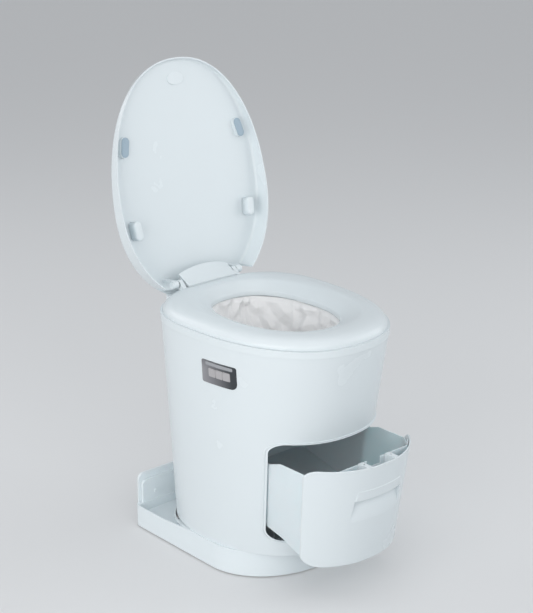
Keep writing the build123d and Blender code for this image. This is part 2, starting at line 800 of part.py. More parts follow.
def make_button(span):
    return panel_piece(span, BUTTON_Z, 2.0, BUTTON_PROUD, BUTTON_DEEP)


def make_control_board():
    """Circuit board behind the panel, with a switch under each button and four standoffs."""
    board = block(
        BOARD_X, BOARD_X + 1.6, PANEL_Y[0] + 2, PANEL_Y[1] - 2, PANEL_Z[0] + 3, PANEL_Z[1] - 2
    )
    reach = body_block(-BUTTON_DEEP - BUTTON_TRAVEL - SLIDE_GAP)
    middle_z = (BUTTON_Z[0] + BUTTON_Z[1]) / 2
    for low, high in button_spans():
        middle = (low + high) / 2
        switch = Pos(middle, middle_z) * RectangleRounded(5, 5, 1)
        board = board + (side_prism(switch, -250, BOARD_X) & reach)
    seat = body_block(-BODY_WALL - BEZEL_FLANGE - SKIN_GAP)
    for y in (PANEL_Y[0] + 4, PANEL_Y[1] - 4):
        for z in (PANEL_Z[0] + 5, PANEL_Z[1] - 4):
            post = Pos(y, z) * Circle(1.8)
            board = board + (side_prism(post, -250, BOARD_X) & seat)
    return board


def gear_outline(teeth, module):
    """Spur gear with involute flanks; a tooth points along the outline's first axis."""
    pitch = teeth * module / 2
    base = pitch * cos(radians(20.0))
    tip = pitch + module * 0.95
    root = pitch - module * 1.25
    half_tooth = (pi * module / 2 - BACKLASH) / (2 * pitch)

    def flank(radius):
        slack = tan(radians(20.0)) - radians(20.0)
        roll = max((radius / base) ** 2 - 1, 0.0) ** 0.5
        return half_tooth + slack - (roll - atan(roll))

    points = []
    rising = [root, base, pitch, tip]
    for tooth in range(teeth):
        centre = 2 * pi * tooth / teeth
        for radius in rising:
            turn = centre - flank(max(radius, base))
            points.append((radius * cos(turn), radius * sin(turn)))
        for radius in reversed(rising):
            turn = centre + flank(max(radius, base))
            points.append((radius * cos(turn), radius * sin(turn)))
    return Polygon(*points, align=None)


def gear_x(teeth, module, x0, x1, y, z, turn):
    """A gear whose axis runs along X; its first tooth is turned from +Y towards +Z."""
    return Pos(0, y, z) * (Rot(turn, 0, 0) * side_prism(gear_outline(teeth, module), x0, x1))


def make_chassis():
    plate = block(-200, 200, -250, 175, CHASSIS_LOW, CHASSIS_LOW + CHASSIS_THICK)
    plate = plate & body_block(-BODY_WALL - PLATE_GAP)
    slot = block(
        -THROAT_HALF_X - 4, THROAT_HALF_X + 4, JAW_FACE_Y - JAW_OPEN - 8, JAW_FACE_Y + 16,
        CHASSIS_LOW - 5, CHASSIS_LOW + 20,
    )
    slot = fillet(slot.edges().filter_by(Axis.Z), 8.0)
    plate = plate - slot
    for x, y in boss_places():
        plate = plate - rod_z(2.2, x, y, CHASSIS_LOW - 1, CHASSIS_LOW + 10)
    return plate


def boss_places():
    return [(-158.0, -60.0), (158.0, -60.0), (-158.0, 70.0), (158.0, 70.0)]


def chassis_bosses():
    """Ledges on the body's inner wall that carry the chassis."""
    ledges = Part()
    for x, y in boss_places():
        side = 1 if x > 0 else -1
        inner, outer = sorted((x - side * 8, x + side * 40))
        ledge = block(inner, outer, y - 9, y + 9, CHASSIS_LOW - 16, CHASSIS_LOW)
        ledges += ledge & body_block(-1.0)
    for x, y in boss_places():
        ledges = ledges - rod_z(1.8, x, y, CHASSIS_LOW - 13, CHASSIS_LOW + 1)
    return ledges


def make_chassis_screws():
    top = CHASSIS_LOW + CHASSIS_THICK
    screws = Part()
    for x, y in boss_places():
        screws += rod_z(1.7, x, y, CHASSIS_LOW - 10, top) + rod_z(4.0, x, y, top, top + 2.6)
    return screws


def make_jaw_frame():
    low = CHASSIS_LOW + CHASSIS_THICK
    cheek = block(CHEEK_X, CHEEK_X + CHEEK_THICK, FRAME_FRONT_Y, FRAME_REAR_Y, low, CHEEK_TOP)
    frame = both(cheek)
    for y0 in (FRAME_FRONT_Y, FRAME_REAR_Y - BAR_THICK):
        frame = frame + block(-CHEEK_X, CHEEK_X, y0, y0 + BAR_THICK, low, JAW_HIGH - 1)
    for x in (-GUIDE_X, GUIDE_X):
        frame = frame - rod_y(GUIDE_RADIUS, x, FRAME_FRONT_Y - 1, FRAME_REAR_Y + 1, jaw_middle())
    for y in (-roller_y(), roller_y()):
        frame = frame - rod_x(SHAFT_RADIUS + RUN_GAP, -110, 110, y, ROLLER_Z)
    return frame


def jaw_middle():
    return (JAW_LOW + JAW_HIGH) / 2


def roller_y():
    return ROLLER_TEETH * ROLLER_MODULE / 2


def make_guide_rods():
    return both(rod_y(GUIDE_RADIUS, GUIDE_X, FRAME_FRONT_Y + 1, FRAME_REAR_Y - 1, jaw_middle()))


def jaw_bar(y0, y1, bore):
    bar = block(-JAW_HALF, JAW_HALF, y0, y1, JAW_LOW, JAW_HIGH)
    bar = fillet(bar.edges().filter_by(Axis.X), 2.0)
    for x in (-GUIDE_X, GUIDE_X):
        bar = bar - rod_y(bore, x, y0 - 1, y1 + 1, jaw_middle())
    return bar


def make_fixed_jaw():
    return jaw_bar(JAW_FACE_Y, JAW_FACE_Y + JAW_DEEP, GUIDE_RADIUS)


def make_heating_strip():
    z = jaw_middle()
    return block(-STRIP_HALF, STRIP_HALF, JAW_FACE_Y - STRIP_THICK, JAW_FACE_Y, z - 3, z + 3)


def moving_face():
    return JAW_FACE_Y - JAW_OPEN


def make_moving_jaw():
    return jaw_bar(moving_face() - JAW_DEEP, moving_face(), GUIDE_RADIUS + RUN_GAP)


def make_pressure_strip():
    z = jaw_middle()
    return block(-STRIP_HALF, STRIP_HALF, moving_face(), moving_face() + STRIP_THICK, z - 4, z + 4)


def rack_pitch_z():
    return JAW_HIGH + 6.0


def make_jaw_rack():
    """Toothed bar on the moving jaw; a gap between teeth stands under the pinion."""
    pitch_z = rack_pitch_z()
    root_z = pitch_z - 1.25 * PINION_MODULE
    tip_z = pitch_z + 0.95 * PINION_MODULE
    lean = tan(radians(20.0))
    half = pi * PINION_MODULE / 4 - BACKLASH / 2
    rack = block(RACK_X[0], RACK_X[1], RACK_Y[0], RACK_Y[1], JAW_HIGH, root_z)
    step = pi * PINION_MODULE
    first = PINION_Y + step / 2 - step * int((PINION_Y - RACK_Y[0] - 2) / step)
    count = int((PINION_Y + 14 - first) / step)
    for tooth in range(count):
        y = first + tooth * step
        low = half + (pitch_z - root_z) * lean
        high = half - (tip_z - pitch_z) * lean
        outline = Polygon(
            (y - low, root_z), (y + low, root_z), (y + high, tip_z), (y - high, tip_z), align=None
        )
        rack = rack + side_prism(outline, RACK_X[0], RACK_X[1])
    return rack


def pinion_z():
    return rack_pitch_z() + PINION_TEETH * PINION_MODULE / 2


def make_jaw_pinion():
    gear = gear_x(
        PINION_TEETH, PINION_MODULE, RACK_X[0] + 0.5, RACK_X[1] - 0.5, PINION_Y, pinion_z(), -90.0
    )
    return gear + rod_x(SHAFT_RADIUS, RACK_X[0] - 2, RACK_X[1] + 12, PINION_Y, pinion_z())


def make_motor_bracket():
    x = RACK_X[1] + 2
    low = CHASSIS_LOW + CHASSIS_THICK
    plate = block(x, x + 3, PINION_Y - 18, PINION_Y + 7, low, pinion_z() + 18)
    foot = block(x, x + 40, PINION_Y - 18, PINION_Y + 7, low, low + 3)
    bracket = plate + foot - rod_x(SHAFT_RADIUS + 2, x - 1, x + 5, PINION_Y, pinion_z())
    return bracket


def make_jaw_motor():
    x = RACK_X[1] + 5
    motor = rod_x(MOTOR_RADIUS, x, x + MOTOR_LONG, PINION_Y, pinion_z())
    motor = motor + rod_x(5.0, x + MOTOR_LONG, x + MOTOR_LONG + 4, PINION_Y, pinion_z())
    return motor - rod_x(SHAFT_RADIUS + RUN_GAP, x - 1, x + 8, PINION_Y, pinion_z())


def make_roller(side):
    """Rubber-covered feed roller with its gear outside the cheek; side is -1 ahead, 1 behind."""
    y = side * roller_y()
    roller = rod_x(ROLLER_RADIUS, -CHEEK_X + 2, CHEEK_X - 2, y, ROLLER_Z)
    outer = CHEEK_X + CHEEK_THICK
    left = -outer - 8 if side > 0 else -outer - 1
    roller = roller + rod_x(SHAFT_RADIUS, left, outer + GEAR_WIDE + 2, y, ROLLER_Z)
    turn = 180.0 if side > 0 else 180.0 / ROLLER_TEETH
    gear = gear_x(
        ROLLER_TEETH, ROLLER_MODULE, outer + 1, outer + 1 + GEAR_WIDE, y, ROLLER_Z, turn
    )
    return roller + gear


def make_roller_motor():
    outer = CHEEK_X + CHEEK_THICK
    motor = rod_x(MOTOR_RADIUS, -outer - MOTOR_LONG, -outer, roller_y(), ROLLER_Z)
    return motor - rod_x(SHAFT_RADIUS + RUN_GAP, -outer - 9, -outer + 1, roller_y(), ROLLER_Z)


def throat(grow, z):
    return egg(
        THROAT_HALF_X + grow, THROAT_HALF_Y + grow, THROAT_HALF_Y + grow, 4.0, 4.0, z
    )


def funnel_form(grow, low, high):
    return Solid.make_loft(
        [hole_outline(6.0 + grow, high), hole_outline(-10.0 + grow, 440.0), throat(grow, low)]
    )


def make_bowl_guide():
    """Funnel that carries the film down to the rollers, with a flange and four posts."""
    top = DECK_LOW - 2.0
    funnel = funnel_form(0.0, THROAT_Z, top)
    flange = slab(hole_outline(FLANGE_GROW, FLANGE_Z), 3.0)
    guide = funnel + flange
    guide = guide - funnel_form(-FUNNEL_WALL, THROAT_Z - 0.01, top + 0.01)
    for x in (-POST_X, POST_X):
        for y in (HOLE_Y - POST_REACH, HOLE_Y + POST_REACH):
            guide = guide + rod_z(5.0, x, y, FLANGE_Z, DECK_LOW)
    return guide


def make_film_cassette():
    """Ring that holds the folded film round the mouth of the bowl guide."""
    ring = slab(hole_outline(CASSETTE_GROW, FLANGE_Z + 3), CASSETTE_HIGH)
    ring = ring - slab(hole_outline(CASSETTE_INNER, FLANGE_Z + 2), CASSETTE_HIGH + 4)
    floor = FLANGE_Z + 3 + CASSETTE_WALL
    hollow = slab(hole_outline(CASSETTE_GROW - CASSETTE_WALL, floor), CASSETTE_HIGH)
    hollow = hollow - slab(hole_outline(CASSETTE_INNER + CASSETTE_WALL, floor - 1), CASSETTE_HIGH + 4)
    return ring - hollow


def make_film_pack():
    """The folded film in its cassette."""
    reach = CASSETTE_WALL + 0.4
    floor = FLANGE_Z + 3 + CASSETTE_WALL + 0.2
    pack = slab(hole_outline(CASSETTE_GROW - reach, floor), CASSETTE_HIGH - 5)
    return pack - slab(hole_outline(CASSETTE_INNER + reach, floor - 1), CASSETTE_HIGH + 4)


def make_film_liner():
    grow = -FUNNEL_WALL - LINER_GAP
    top = DECK_LOW - 2.0
    low = THROAT_Z + 1
    outer = funnel_form(grow, low, top)
    return outer - funnel_form(grow - LINER_WALL, low - 0.01, top + 0.01)


def make_drawer_ramp():
    """Two inclined rails under the bin, on a plate that stands on the base's plinth."""
    fall = DRAWER_DROP / DRAWER_OUT
    floor = BODY_BOTTOM + BODY_FLOOR

    def rail_top(y):
        return BIN_FLOOR_Z + fall * (y - BIN_FLOOR_Y) - GLIDE_HIGH - SLIDE_GAP

    web = side_prism(
        Polygon(
            (RAMP_FRONT_Y, floor), (RAMP_REAR_Y, floor),
            (RAMP_REAR_Y, rail_top(RAMP_REAR_Y)), (RAMP_FRONT_Y, rail_top(RAMP_FRONT_Y)), align=None,
        ),
        RAMP_X - 2, RAMP_X + 2,
    )
    flange = side_prism(
        Polygon(
            (RAMP_FRONT_Y, rail_top(RAMP_FRONT_Y) - 3), (RAMP_REAR_Y, rail_top(RAMP_REAR_Y) - 3),
            (RAMP_REAR_Y, rail_top(RAMP_REAR_Y)), (RAMP_FRONT_Y, rail_top(RAMP_FRONT_Y)), align=None,
        ),
        RAMP_X - 7, RAMP_X + 7,
    )
    plate = block(-RAMP_X - 8, RAMP_X + 8, RAMP_FRONT_Y, RAMP_REAR_Y, floor, floor + 3)
    lighten = block(-RAMP_X + 14, RAMP_X - 14, RAMP_FRONT_Y + 20, RAMP_REAR_Y - 20, 50, 70)
    return plate - lighten + both(web + flange)


def make_drawer_glides():
    fall = DRAWER_DROP / DRAWER_OUT

    def floor(y):
        return BIN_FLOOR_Z + fall * (y - BIN_FLOOR_Y)

    front, rear = BIN_FLOOR_Y + 4, BIN_REAR_Y - 12
    bar = side_prism(
        Polygon(
            (front, floor(front) - GLIDE_HIGH), (rear, floor(rear) - GLIDE_HIGH),
            (rear, floor(rear)), (front, floor(front)), align=None,
        ),
        RAMP_X - 5, RAMP_X + 5,
    )
    return both(bar)


def make_battery_box():
    floor = BODY_BOTTOM + BODY_FLOOR
    box = block(-BATTERY_HALF, BATTERY_HALF, BATTERY_Y[0], BATTERY_Y[1], floor, floor + BATTERY_HIGH)
    return fillet(box.edges().filter_by(Axis.Z), 6.0)


def make_power_inlet():
    barrel = rod_y(INLET_RADIUS - SKIN_GAP, 0, 166, 184.2, INLET_Z)
    collar = rod_y(INLET_RADIUS + 3, 0, 182.6, 184.6, INLET_Z)
    socket = rod_y(4.5, 0, 170, 190, INLET_Z)
    return barrel + collar - socket + rod_y(1.2, 0, 168, 183, INLET_Z)


def main():
    save("base_tray", make_base())
    save("base_feet", make_feet())
    save("rear_rail", make_rear_rail())
    save("rail_screws", make_rail_screws())
    save("body_shell", make_body())
    save("opening_trim", make_opening_trim())
    save("seat_deck", make_deck())
    save("hinge_brackets", make_hinge_brackets())
    save("hinge_cover", make_hinge_cover())
    save("hinge_pins", make_hinge_pins())
    save("hinge_caps", make_hinge_caps())
    save("seat_ring", make_seat())
    save("seat_buffers", make_seat_buffers())
    save("lid_shell", hinge_turn(make_lid_closed(), LID_ANGLE))
    save("front_lid_pads", hinge_turn(make_front_pads(), LID_ANGLE))
    save("rear_lid_pads", hinge_turn(make_rear_pads(), LID_ANGLE))
    save("lid_oval_plate", hinge_turn(make_lid_plate(), LID_ANGLE))
    save("drawer_front", place_drawer(make_drawer_front()))
    save("drawer_bin", place_drawer(make_drawer_bin()))
    save("drawer_brackets", place_drawer(make_drawer_brackets()))
    save("drawer_glides", place_drawer(make_drawer_glides()))
    save("drawer_ramp", make_drawer_ramp())
    save("control_bezel", make_bezel())
    save("status_light", make_status_light())
    save("control_board", make_control_board())
    for name, span in zip(("front", "middle", "rear"), button_spans()):
        save(f"button_{name}", make_button(span))
    save("bowl_guide", make_bowl_guide())
    save("film_cassette", make_film_cassette())
    save("film_pack", make_film_pack())
    save("film_liner", make_film_liner())
    save("chassis_plate", make_chassis())
    save("chassis_screws", make_chassis_screws())
    save("jaw_frame", make_jaw_frame())
    save("guide_rods", make_guide_rods())
    save("fixed_jaw", make_fixed_jaw())
    save("heating_strip", make_heating_strip())
    save("moving_jaw", make_moving_jaw())
    save("pressure_strip", make_pressure_strip())
    save("jaw_rack", make_jaw_rack())
    save("jaw_pinion", make_jaw_pinion())
    save("motor_bracket", make_motor_bracket())
    save("jaw_motor", make_jaw_motor())
    save("feed_roller_front", make_roller(-1))
    save("feed_roller_rear", make_roller(1))
    save("roller_motor", make_roller_motor())
    save("battery_box", make_battery_box())
    save("power_inlet", make_power_inlet())


main()
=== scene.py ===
"""Looks of a sealing toilet on its fixed frame: shells, film, rubber and metal finishes, and the stage."""

import json
import math

import bmesh
import bpy
import numpy as np
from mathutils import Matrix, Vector

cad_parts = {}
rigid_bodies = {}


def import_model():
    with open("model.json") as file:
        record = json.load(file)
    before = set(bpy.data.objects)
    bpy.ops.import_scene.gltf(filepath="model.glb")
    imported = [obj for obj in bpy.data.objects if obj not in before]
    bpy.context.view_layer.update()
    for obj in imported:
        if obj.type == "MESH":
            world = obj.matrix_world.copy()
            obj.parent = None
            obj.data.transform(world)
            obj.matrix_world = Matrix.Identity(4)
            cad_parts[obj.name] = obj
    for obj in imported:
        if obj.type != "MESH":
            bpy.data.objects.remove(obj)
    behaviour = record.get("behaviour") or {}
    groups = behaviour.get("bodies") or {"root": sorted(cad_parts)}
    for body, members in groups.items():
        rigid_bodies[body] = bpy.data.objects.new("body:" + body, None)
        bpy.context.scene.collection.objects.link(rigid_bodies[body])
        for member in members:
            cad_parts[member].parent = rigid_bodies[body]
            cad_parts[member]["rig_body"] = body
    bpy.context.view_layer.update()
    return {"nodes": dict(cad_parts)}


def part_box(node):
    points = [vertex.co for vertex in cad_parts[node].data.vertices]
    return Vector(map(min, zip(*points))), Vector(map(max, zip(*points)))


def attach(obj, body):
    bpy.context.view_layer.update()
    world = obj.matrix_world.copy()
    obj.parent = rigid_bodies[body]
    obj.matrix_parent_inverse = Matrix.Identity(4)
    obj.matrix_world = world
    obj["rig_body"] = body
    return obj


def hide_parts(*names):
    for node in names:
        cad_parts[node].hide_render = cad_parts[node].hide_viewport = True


bl_info = {
    "name": "Sealing Toilet",
    "version": (1, 0, 0),
    "blender": (4, 5, 0),
    "location": "View3D > Sidebar > Toilet",
    "description": "Dresses the frame of a sealing toilet and sets its stage",
    "category": "Add Mesh",
}

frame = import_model()
MM = 0.001

# How near two points have to be to become one: in the frame's meshes, and in a grid that meets itself
FRAME_WELD = 0.00002
GRID_WELD = 0.000001

# Finishes by node: material, angle in degrees above which an edge stays sharp, bevel in millimetres
FINISHES = {
    "base_tray": ("base_white_painted_light", 35, 0.0),
    "base_feet": ("foot_black", 35, 0.0),
    "rear_rail": ("base_white_painted_light", 35, 0.0),
    "rail_screws": ("base_white_painted_light", 30, 0.0),
    "body_shell": ("shell_white", 35, 0.0),
    "seat_deck": ("shell_white", 35, 0.0),
    "hinge_brackets": ("base_white_painted_light", 30, 0.4),
    "hinge_cover": ("shell_white", 30, 0.0),
    "hinge_pins": ("steel", 30, 0.2),
    "hinge_caps": ("base_white_painted_light", 30, 0.4),
    "drawer_ramp": ("base_white_painted_light", 30, 0.5),
    "control_bezel": ("bezel_painted_reflection", 35, 0.0),
    "status_light": ("lamp_lens", 35, 0.2),
    "control_board": ("board_green", 30, 0.0),
    "bowl_guide": ("works_grey", 35, 0.0),
    "film_cassette": ("works_grey", 35, 0.0),
    "chassis_plate": ("works_grey", 35, 0.5),
    "chassis_screws": ("steel", 30, 0.2),
    "jaw_frame": ("works_grey", 30, 0.6),
    "guide_rods": ("steel", 30, 0.2),
    "fixed_jaw": ("aluminium", 35, 0.3),
    "heating_strip": ("steel", 30, 0.0),
    "motor_bracket": ("steel", 30, 0.4),
    "jaw_motor": ("motor_dark", 30, 0.5),
    "roller_motor": ("motor_dark", 30, 0.5),
    "battery_box": ("motor_dark", 30, 1.2),
    "power_inlet": ("panel_grey", 30, 0.3),
    "seat_buffers": ("pad_white", 30, 0.6),
    "lid_shell": ("shell_white", 35, 0.0),
    "lid_oval_plate": ("shell_white", 30, 0.3),
    "drawer_bin": ("bin_blue", 35, 0.0),
    "drawer_brackets": ("base_white_painted_light", 30, 0.8),
    "drawer_glides": ("nylon", 30, 0.5),
    "button_front": ("button_pale", 35, 0.0),
    "button_middle": ("button_pale", 35, 0.0),
    "button_rear": ("button_pale", 35, 0.0),
    "moving_jaw": ("aluminium", 35, 0.3),
    "pressure_strip": ("pad_blue", 30, 0.2),
    "jaw_rack": ("nylon", 30, 0.0),
    "jaw_pinion": ("nylon", 30, 0.0),
    "feed_roller_front": ("roller_black", 30, 0.2),
    "feed_roller_rear": ("roller_black", 30, 0.2),
}


class ToiletLook(bpy.types.PropertyGroup):
    """Colours and sizes that a user would change."""

    shell_colour: bpy.props.FloatVectorProperty(
        name="Shell colour", description="Moulded shell, seat and lid", subtype="COLOR", size=3,
        min=0.0, max=1.0, default=(0.730, 0.790, 0.815),
    )
    pad_colour: bpy.props.FloatVectorProperty(
        name="Pad colour", description="Soft pads under the lid", subtype="COLOR", size=3,
        min=0.0, max=1.0, default=(0.36, 0.46, 0.54),
    )
    bin_colour: bpy.props.FloatVectorProperty(
        name="Bin colour", description="Drawer bin", subtype="COLOR", size=3,
        min=0.0, max=1.0, default=(0.70, 0.80, 0.84),
    )
    fold_depth: bpy.props.FloatProperty(
        name="Fold depth", description="Depth of the film's upright folds", unit="LENGTH",
        min=0.0, max=0.01, default=0.0045,
    )
    view_turn: bpy.props.FloatProperty(
        name="View turn", description="Camera's turn to the left of straight ahead", subtype="ANGLE",
        default=math.radians(42.04),
    )
    view_rise: bpy.props.FloatProperty(
        name="View rise", description="Camera's angle above level", subtype="ANGLE",
        default=math.radians(18.67),
    )
    view_distance: bpy.props.FloatProperty(
        name="View distance", description="From the camera to the aim point", unit="LENGTH",
        default=3.01211,
    )
    view_aim: bpy.props.FloatVectorProperty(
        name="View aim", description="Point that the camera looks at", unit="LENGTH", size=3,
        default=(0.01737, 0.00688, 0.50163),
    )
    lens: bpy.props.FloatProperty(
        name="Lens", description="Focal length on a 36 mm tall frame", unit="CAMERA",
        default=88.107,
    )


def look():
    """The user's colours and sizes."""
    return bpy.context.scene.toilet_look


MOTTLE_SCALE, MOTTLE_DETAIL = 9.0, 4.0
GRAIN_DETAIL = 2.0
GRAIN_STRENGTH = 0.6
# Light that soaks into a soft material: its reach in red, green and blue, in units of the scale in metres
SOAK_RADIUS = (0.8, 1.0, 1.0)
SOAK_SCALE = 0.006


def moulded_group():
    """Soft mottle of colour and gloss, and a fine moulded grain, all on object coordinates."""
    name = "moulded surface"
    if name in bpy.data.node_groups:
        return bpy.data.node_groups[name]
    group = bpy.data.node_groups.new(name, "ShaderNodeTree")
    face = group.interface
    for label, kind, default in (
        ("Colour", "NodeSocketColor", (0.8, 0.8, 0.8, 1)),
        ("Mottle", "NodeSocketFloat", 0.03),
        ("Gloss", "NodeSocketFloat", 0.3),
        ("Gloss spread", "NodeSocketFloat", 0.06),
        ("Grain size", "NodeSocketFloat", 900.0),
    ):
        socket = face.new_socket(label, in_out="INPUT", socket_type=kind)
        socket.default_value = default
    face.new_socket("Colour", in_out="OUTPUT", socket_type="NodeSocketColor")
    face.new_socket("Roughness", in_out="OUTPUT", socket_type="NodeSocketFloat")
    face.new_socket("Height", in_out="OUTPUT", socket_type="NodeSocketFloat")
    nodes, links = group.nodes, group.links
    inputs = nodes.new("NodeGroupInput")
    outputs = nodes.new("NodeGroupOutput")
    where = nodes.new("ShaderNodeTexCoord")
    broad = nodes.new("ShaderNodeTexNoise")
    broad.inputs["Scale"].default_value = MOTTLE_SCALE
    broad.inputs["Detail"].default_value = MOTTLE_DETAIL
    fine = nodes.new("ShaderNodeTexNoise")
    fine.inputs["Detail"].default_value = GRAIN_DETAIL
    links.new(where.outputs["Object"], broad.inputs["Vector"])
    links.new(where.outputs["Object"], fine.inputs["Vector"])
    links.new(inputs.outputs["Grain size"], fine.inputs["Scale"])
    centred = nodes.new("ShaderNodeMath")
    centred.operation = "SUBTRACT"
    centred.inputs[1].default_value = 0.5
    links.new(broad.outputs["Fac"], centred.inputs[0])
    shade = nodes.new("ShaderNodeMath")
    shade.operation = "MULTIPLY_ADD"
    shade.inputs[2].default_value = 1.0
    links.new(centred.outputs[0], shade.inputs[0])
    links.new(inputs.outputs["Mottle"], shade.inputs[1])
    tint = nodes.new("ShaderNodeVectorMath")
    tint.operation = "SCALE"
    links.new(inputs.outputs["Colour"], tint.inputs[0])
    links.new(shade.outputs[0], tint.inputs["Scale"])
    gloss = nodes.new("ShaderNodeMath")
    gloss.operation = "MULTIPLY_ADD"
    links.new(centred.outputs[0], gloss.inputs[0])
    links.new(inputs.outputs["Gloss spread"], gloss.inputs[1])
    links.new(inputs.outputs["Gloss"], gloss.inputs[2])
    links.new(tint.outputs[0], outputs.inputs["Colour"])
    links.new(gloss.outputs[0], outputs.inputs["Roughness"])
    links.new(fine.outputs["Fac"], outputs.inputs["Height"])
    return group


def finish(name, colour, mottle=0.03, gloss=0.3, spread=0.06, grain=900.0, depth=0.00003, metal=0.0,
           specular=0.5, coat=0.0, soft_light=0.0):
    """A material: the moulded group feeds colour, roughness and a fine bump of the shader."""
    if name in bpy.data.materials:
        return bpy.data.materials[name]
    material = bpy.data.materials.new(name)
    material.use_nodes = True
    nodes, links = material.node_tree.nodes, material.node_tree.links
    shader = nodes["Principled BSDF"]
    surface = nodes.new("ShaderNodeGroup")
    surface.node_tree = moulded_group()
    surface.inputs["Colour"].default_value = (*colour, 1.0)
    surface.inputs["Mottle"].default_value = mottle
    surface.inputs["Gloss"].default_value = gloss
    surface.inputs["Gloss spread"].default_value = spread
    surface.inputs["Grain size"].default_value = grain
    links.new(surface.outputs["Colour"], shader.inputs["Base Color"])
    links.new(surface.outputs["Roughness"], shader.inputs["Roughness"])
    bump = nodes.new("ShaderNodeBump")
    bump.inputs["Strength"].default_value = GRAIN_STRENGTH
    bump.inputs["Distance"].default_value = depth
    links.new(surface.outputs["Height"], bump.inputs["Height"])
    links.new(bump.outputs["Normal"], shader.inputs["Normal"])
    shader.inputs["Metallic"].default_value = metal
    shader.inputs["Specular IOR Level"].default_value = specular
    shader.inputs["Coat Weight"].default_value = coat
    shader.inputs["Subsurface Weight"].default_value = soft_light
    if soft_light:
        shader.inputs["Subsurface Radius"].default_value = SOAK_RADIUS
        shader.inputs["Subsurface Scale"].default_value = SOAK_SCALE
    return material


PANEL_GREY = (0.070, 0.074, 0.080)
# The control panel's colour is a painted reflection that runs from its dark front end to its pale rear end
# along Y, and this share of it also fades from full strength up to nothing at the panel's top
BEZEL_REFLECTION_DARK_Y, BEZEL_REFLECTION_PALE_Y = -0.110, -0.030
BEZEL_REFLECTION_TOP_Z, BEZEL_REFLECTION_FULL_Z = 0.458, 0.436
BEZEL_REFLECTION_TOP_SHARE = 0.45
BEZEL_REFLECTION_DARK, BEZEL_REFLECTION_PALE = (0.030, 0.036, 0.042, 1), (0.30, 0.30, 0.32, 1)


def bezel_with_painted_reflection():
    """The control panel's film under a painted reflection: mid grey at its rear end, near black at its front
    end, and darker on top.
    """
    material = finish("bezel_painted_reflection", PANEL_GREY, 0.05, 0.30, 0.05, 1500.0, 0.00001)
    nodes, links = material.node_tree.nodes, material.node_tree.links
    if "where" in nodes:
        return material
    surface = next(node for node in nodes if node.type == "GROUP")
    where = nodes.new("ShaderNodeTexCoord")
    where.name = "where"
    apart = nodes.new("ShaderNodeSeparateXYZ")
    links.new(where.outputs["Object"], apart.inputs[0])
    along = nodes.new("ShaderNodeMapRange")
    along.inputs["From Min"].default_value = BEZEL_REFLECTION_DARK_Y
    along.inputs["From Max"].default_value = BEZEL_REFLECTION_PALE_Y
    links.new(apart.outputs["Y"], along.inputs["Value"])
    up = nodes.new("ShaderNodeMapRange")
    up.inputs["From Min"].default_value = BEZEL_REFLECTION_TOP_Z
    up.inputs["From Max"].default_value = BEZEL_REFLECTION_FULL_Z
    links.new(apart.outputs["Z"], up.inputs["Value"])
    both = nodes.new("ShaderNodeMath")
    both.operation = "MULTIPLY"
    links.new(along.outputs[0], both.inputs[0])
    links.new(up.outputs[0], both.inputs[1])
    share = nodes.new("ShaderNodeMath")
    share.operation = "MULTIPLY_ADD"
    share.inputs[1].default_value = BEZEL_REFLECTION_TOP_SHARE
    links.new(both.outputs[0], share.inputs[0])
    rest = nodes.new("ShaderNodeMath")
    rest.operation = "MULTIPLY"
    rest.inputs[1].default_value = 1 - BEZEL_REFLECTION_TOP_SHARE
    links.new(along.outputs[0], rest.inputs[0])
    links.new(rest.outputs[0], share.inputs[2])
    # Painted reflection: the mix runs from the dark front end to the pale rear end, and darker on top
    ramp = nodes.new("ShaderNodeMix")
    ramp.data_type = "RGBA"
    ramp.inputs["A"].default_value = BEZEL_REFLECTION_DARK
    ramp.inputs["B"].default_value = BEZEL_REFLECTION_PALE
    links.new(share.outputs[0], ramp.inputs["Factor"])
    links.new(ramp.outputs["Result"], surface.inputs["Colour"])
    return material


# Finishes that take no colour of the user's: colour, mottle, gloss, spread of gloss, grain a metre, depth of
# grain in metres, and what else they set
PLAIN_FINISHES = {
    "foot_black": ((0.02, 0.02, 0.022), 0.2, 0.7, 0.1, 1200.0, 0.00006, {}),
    "panel_grey": (PANEL_GREY, 0.1, 0.38, 0.08, 1500.0, 0.00001, {}),
    "button_pale": ((0.42, 0.41, 0.42), 0.02, 0.45, 0.04, 1500.0, 0.00001, {}),
    "lamp_lens": ((0.62, 0.64, 0.64), 0.03, 0.16, 0.03, 500.0, 0.00001, {"coat": 0.6}),
    "board_green": ((0.02, 0.11, 0.05), 0.2, 0.4, 0.1, 500.0, 0.00003, {}),
    "works_grey": ((0.11, 0.115, 0.12), 0.08, 0.5, 0.08, 900.0, 0.00004, {}),
    "film_clear": ((0.86, 0.86, 0.86), 0.02, 0.30, 0.05, 300.0, 0.00002, {}),
    "steel": ((0.56, 0.57, 0.58), 0.05, 0.32, 0.1, 2500.0, 0.00002, {"metal": 1.0}),
    "aluminium": ((0.72, 0.73, 0.74), 0.05, 0.38, 0.1, 2500.0, 0.00002, {"metal": 1.0}),
    "motor_dark": ((0.045, 0.046, 0.05), 0.1, 0.42, 0.08, 900.0, 0.00004, {}),
    "roller_black": ((0.022, 0.022, 0.024), 0.15, 0.66, 0.1, 1500.0, 0.00006, {}),
    "nylon": ((0.74, 0.73, 0.66), 0.04, 0.42, 0.06, 900.0, 0.00003, {}),
}
# How much lighter than the shell the base and the pale pads are; the base's extra lightness is painted light,
# the floor's bounce painted into its colour
BASE_PAINTED_LIGHT, PAD_LIGHTER = 1.06, 1.02


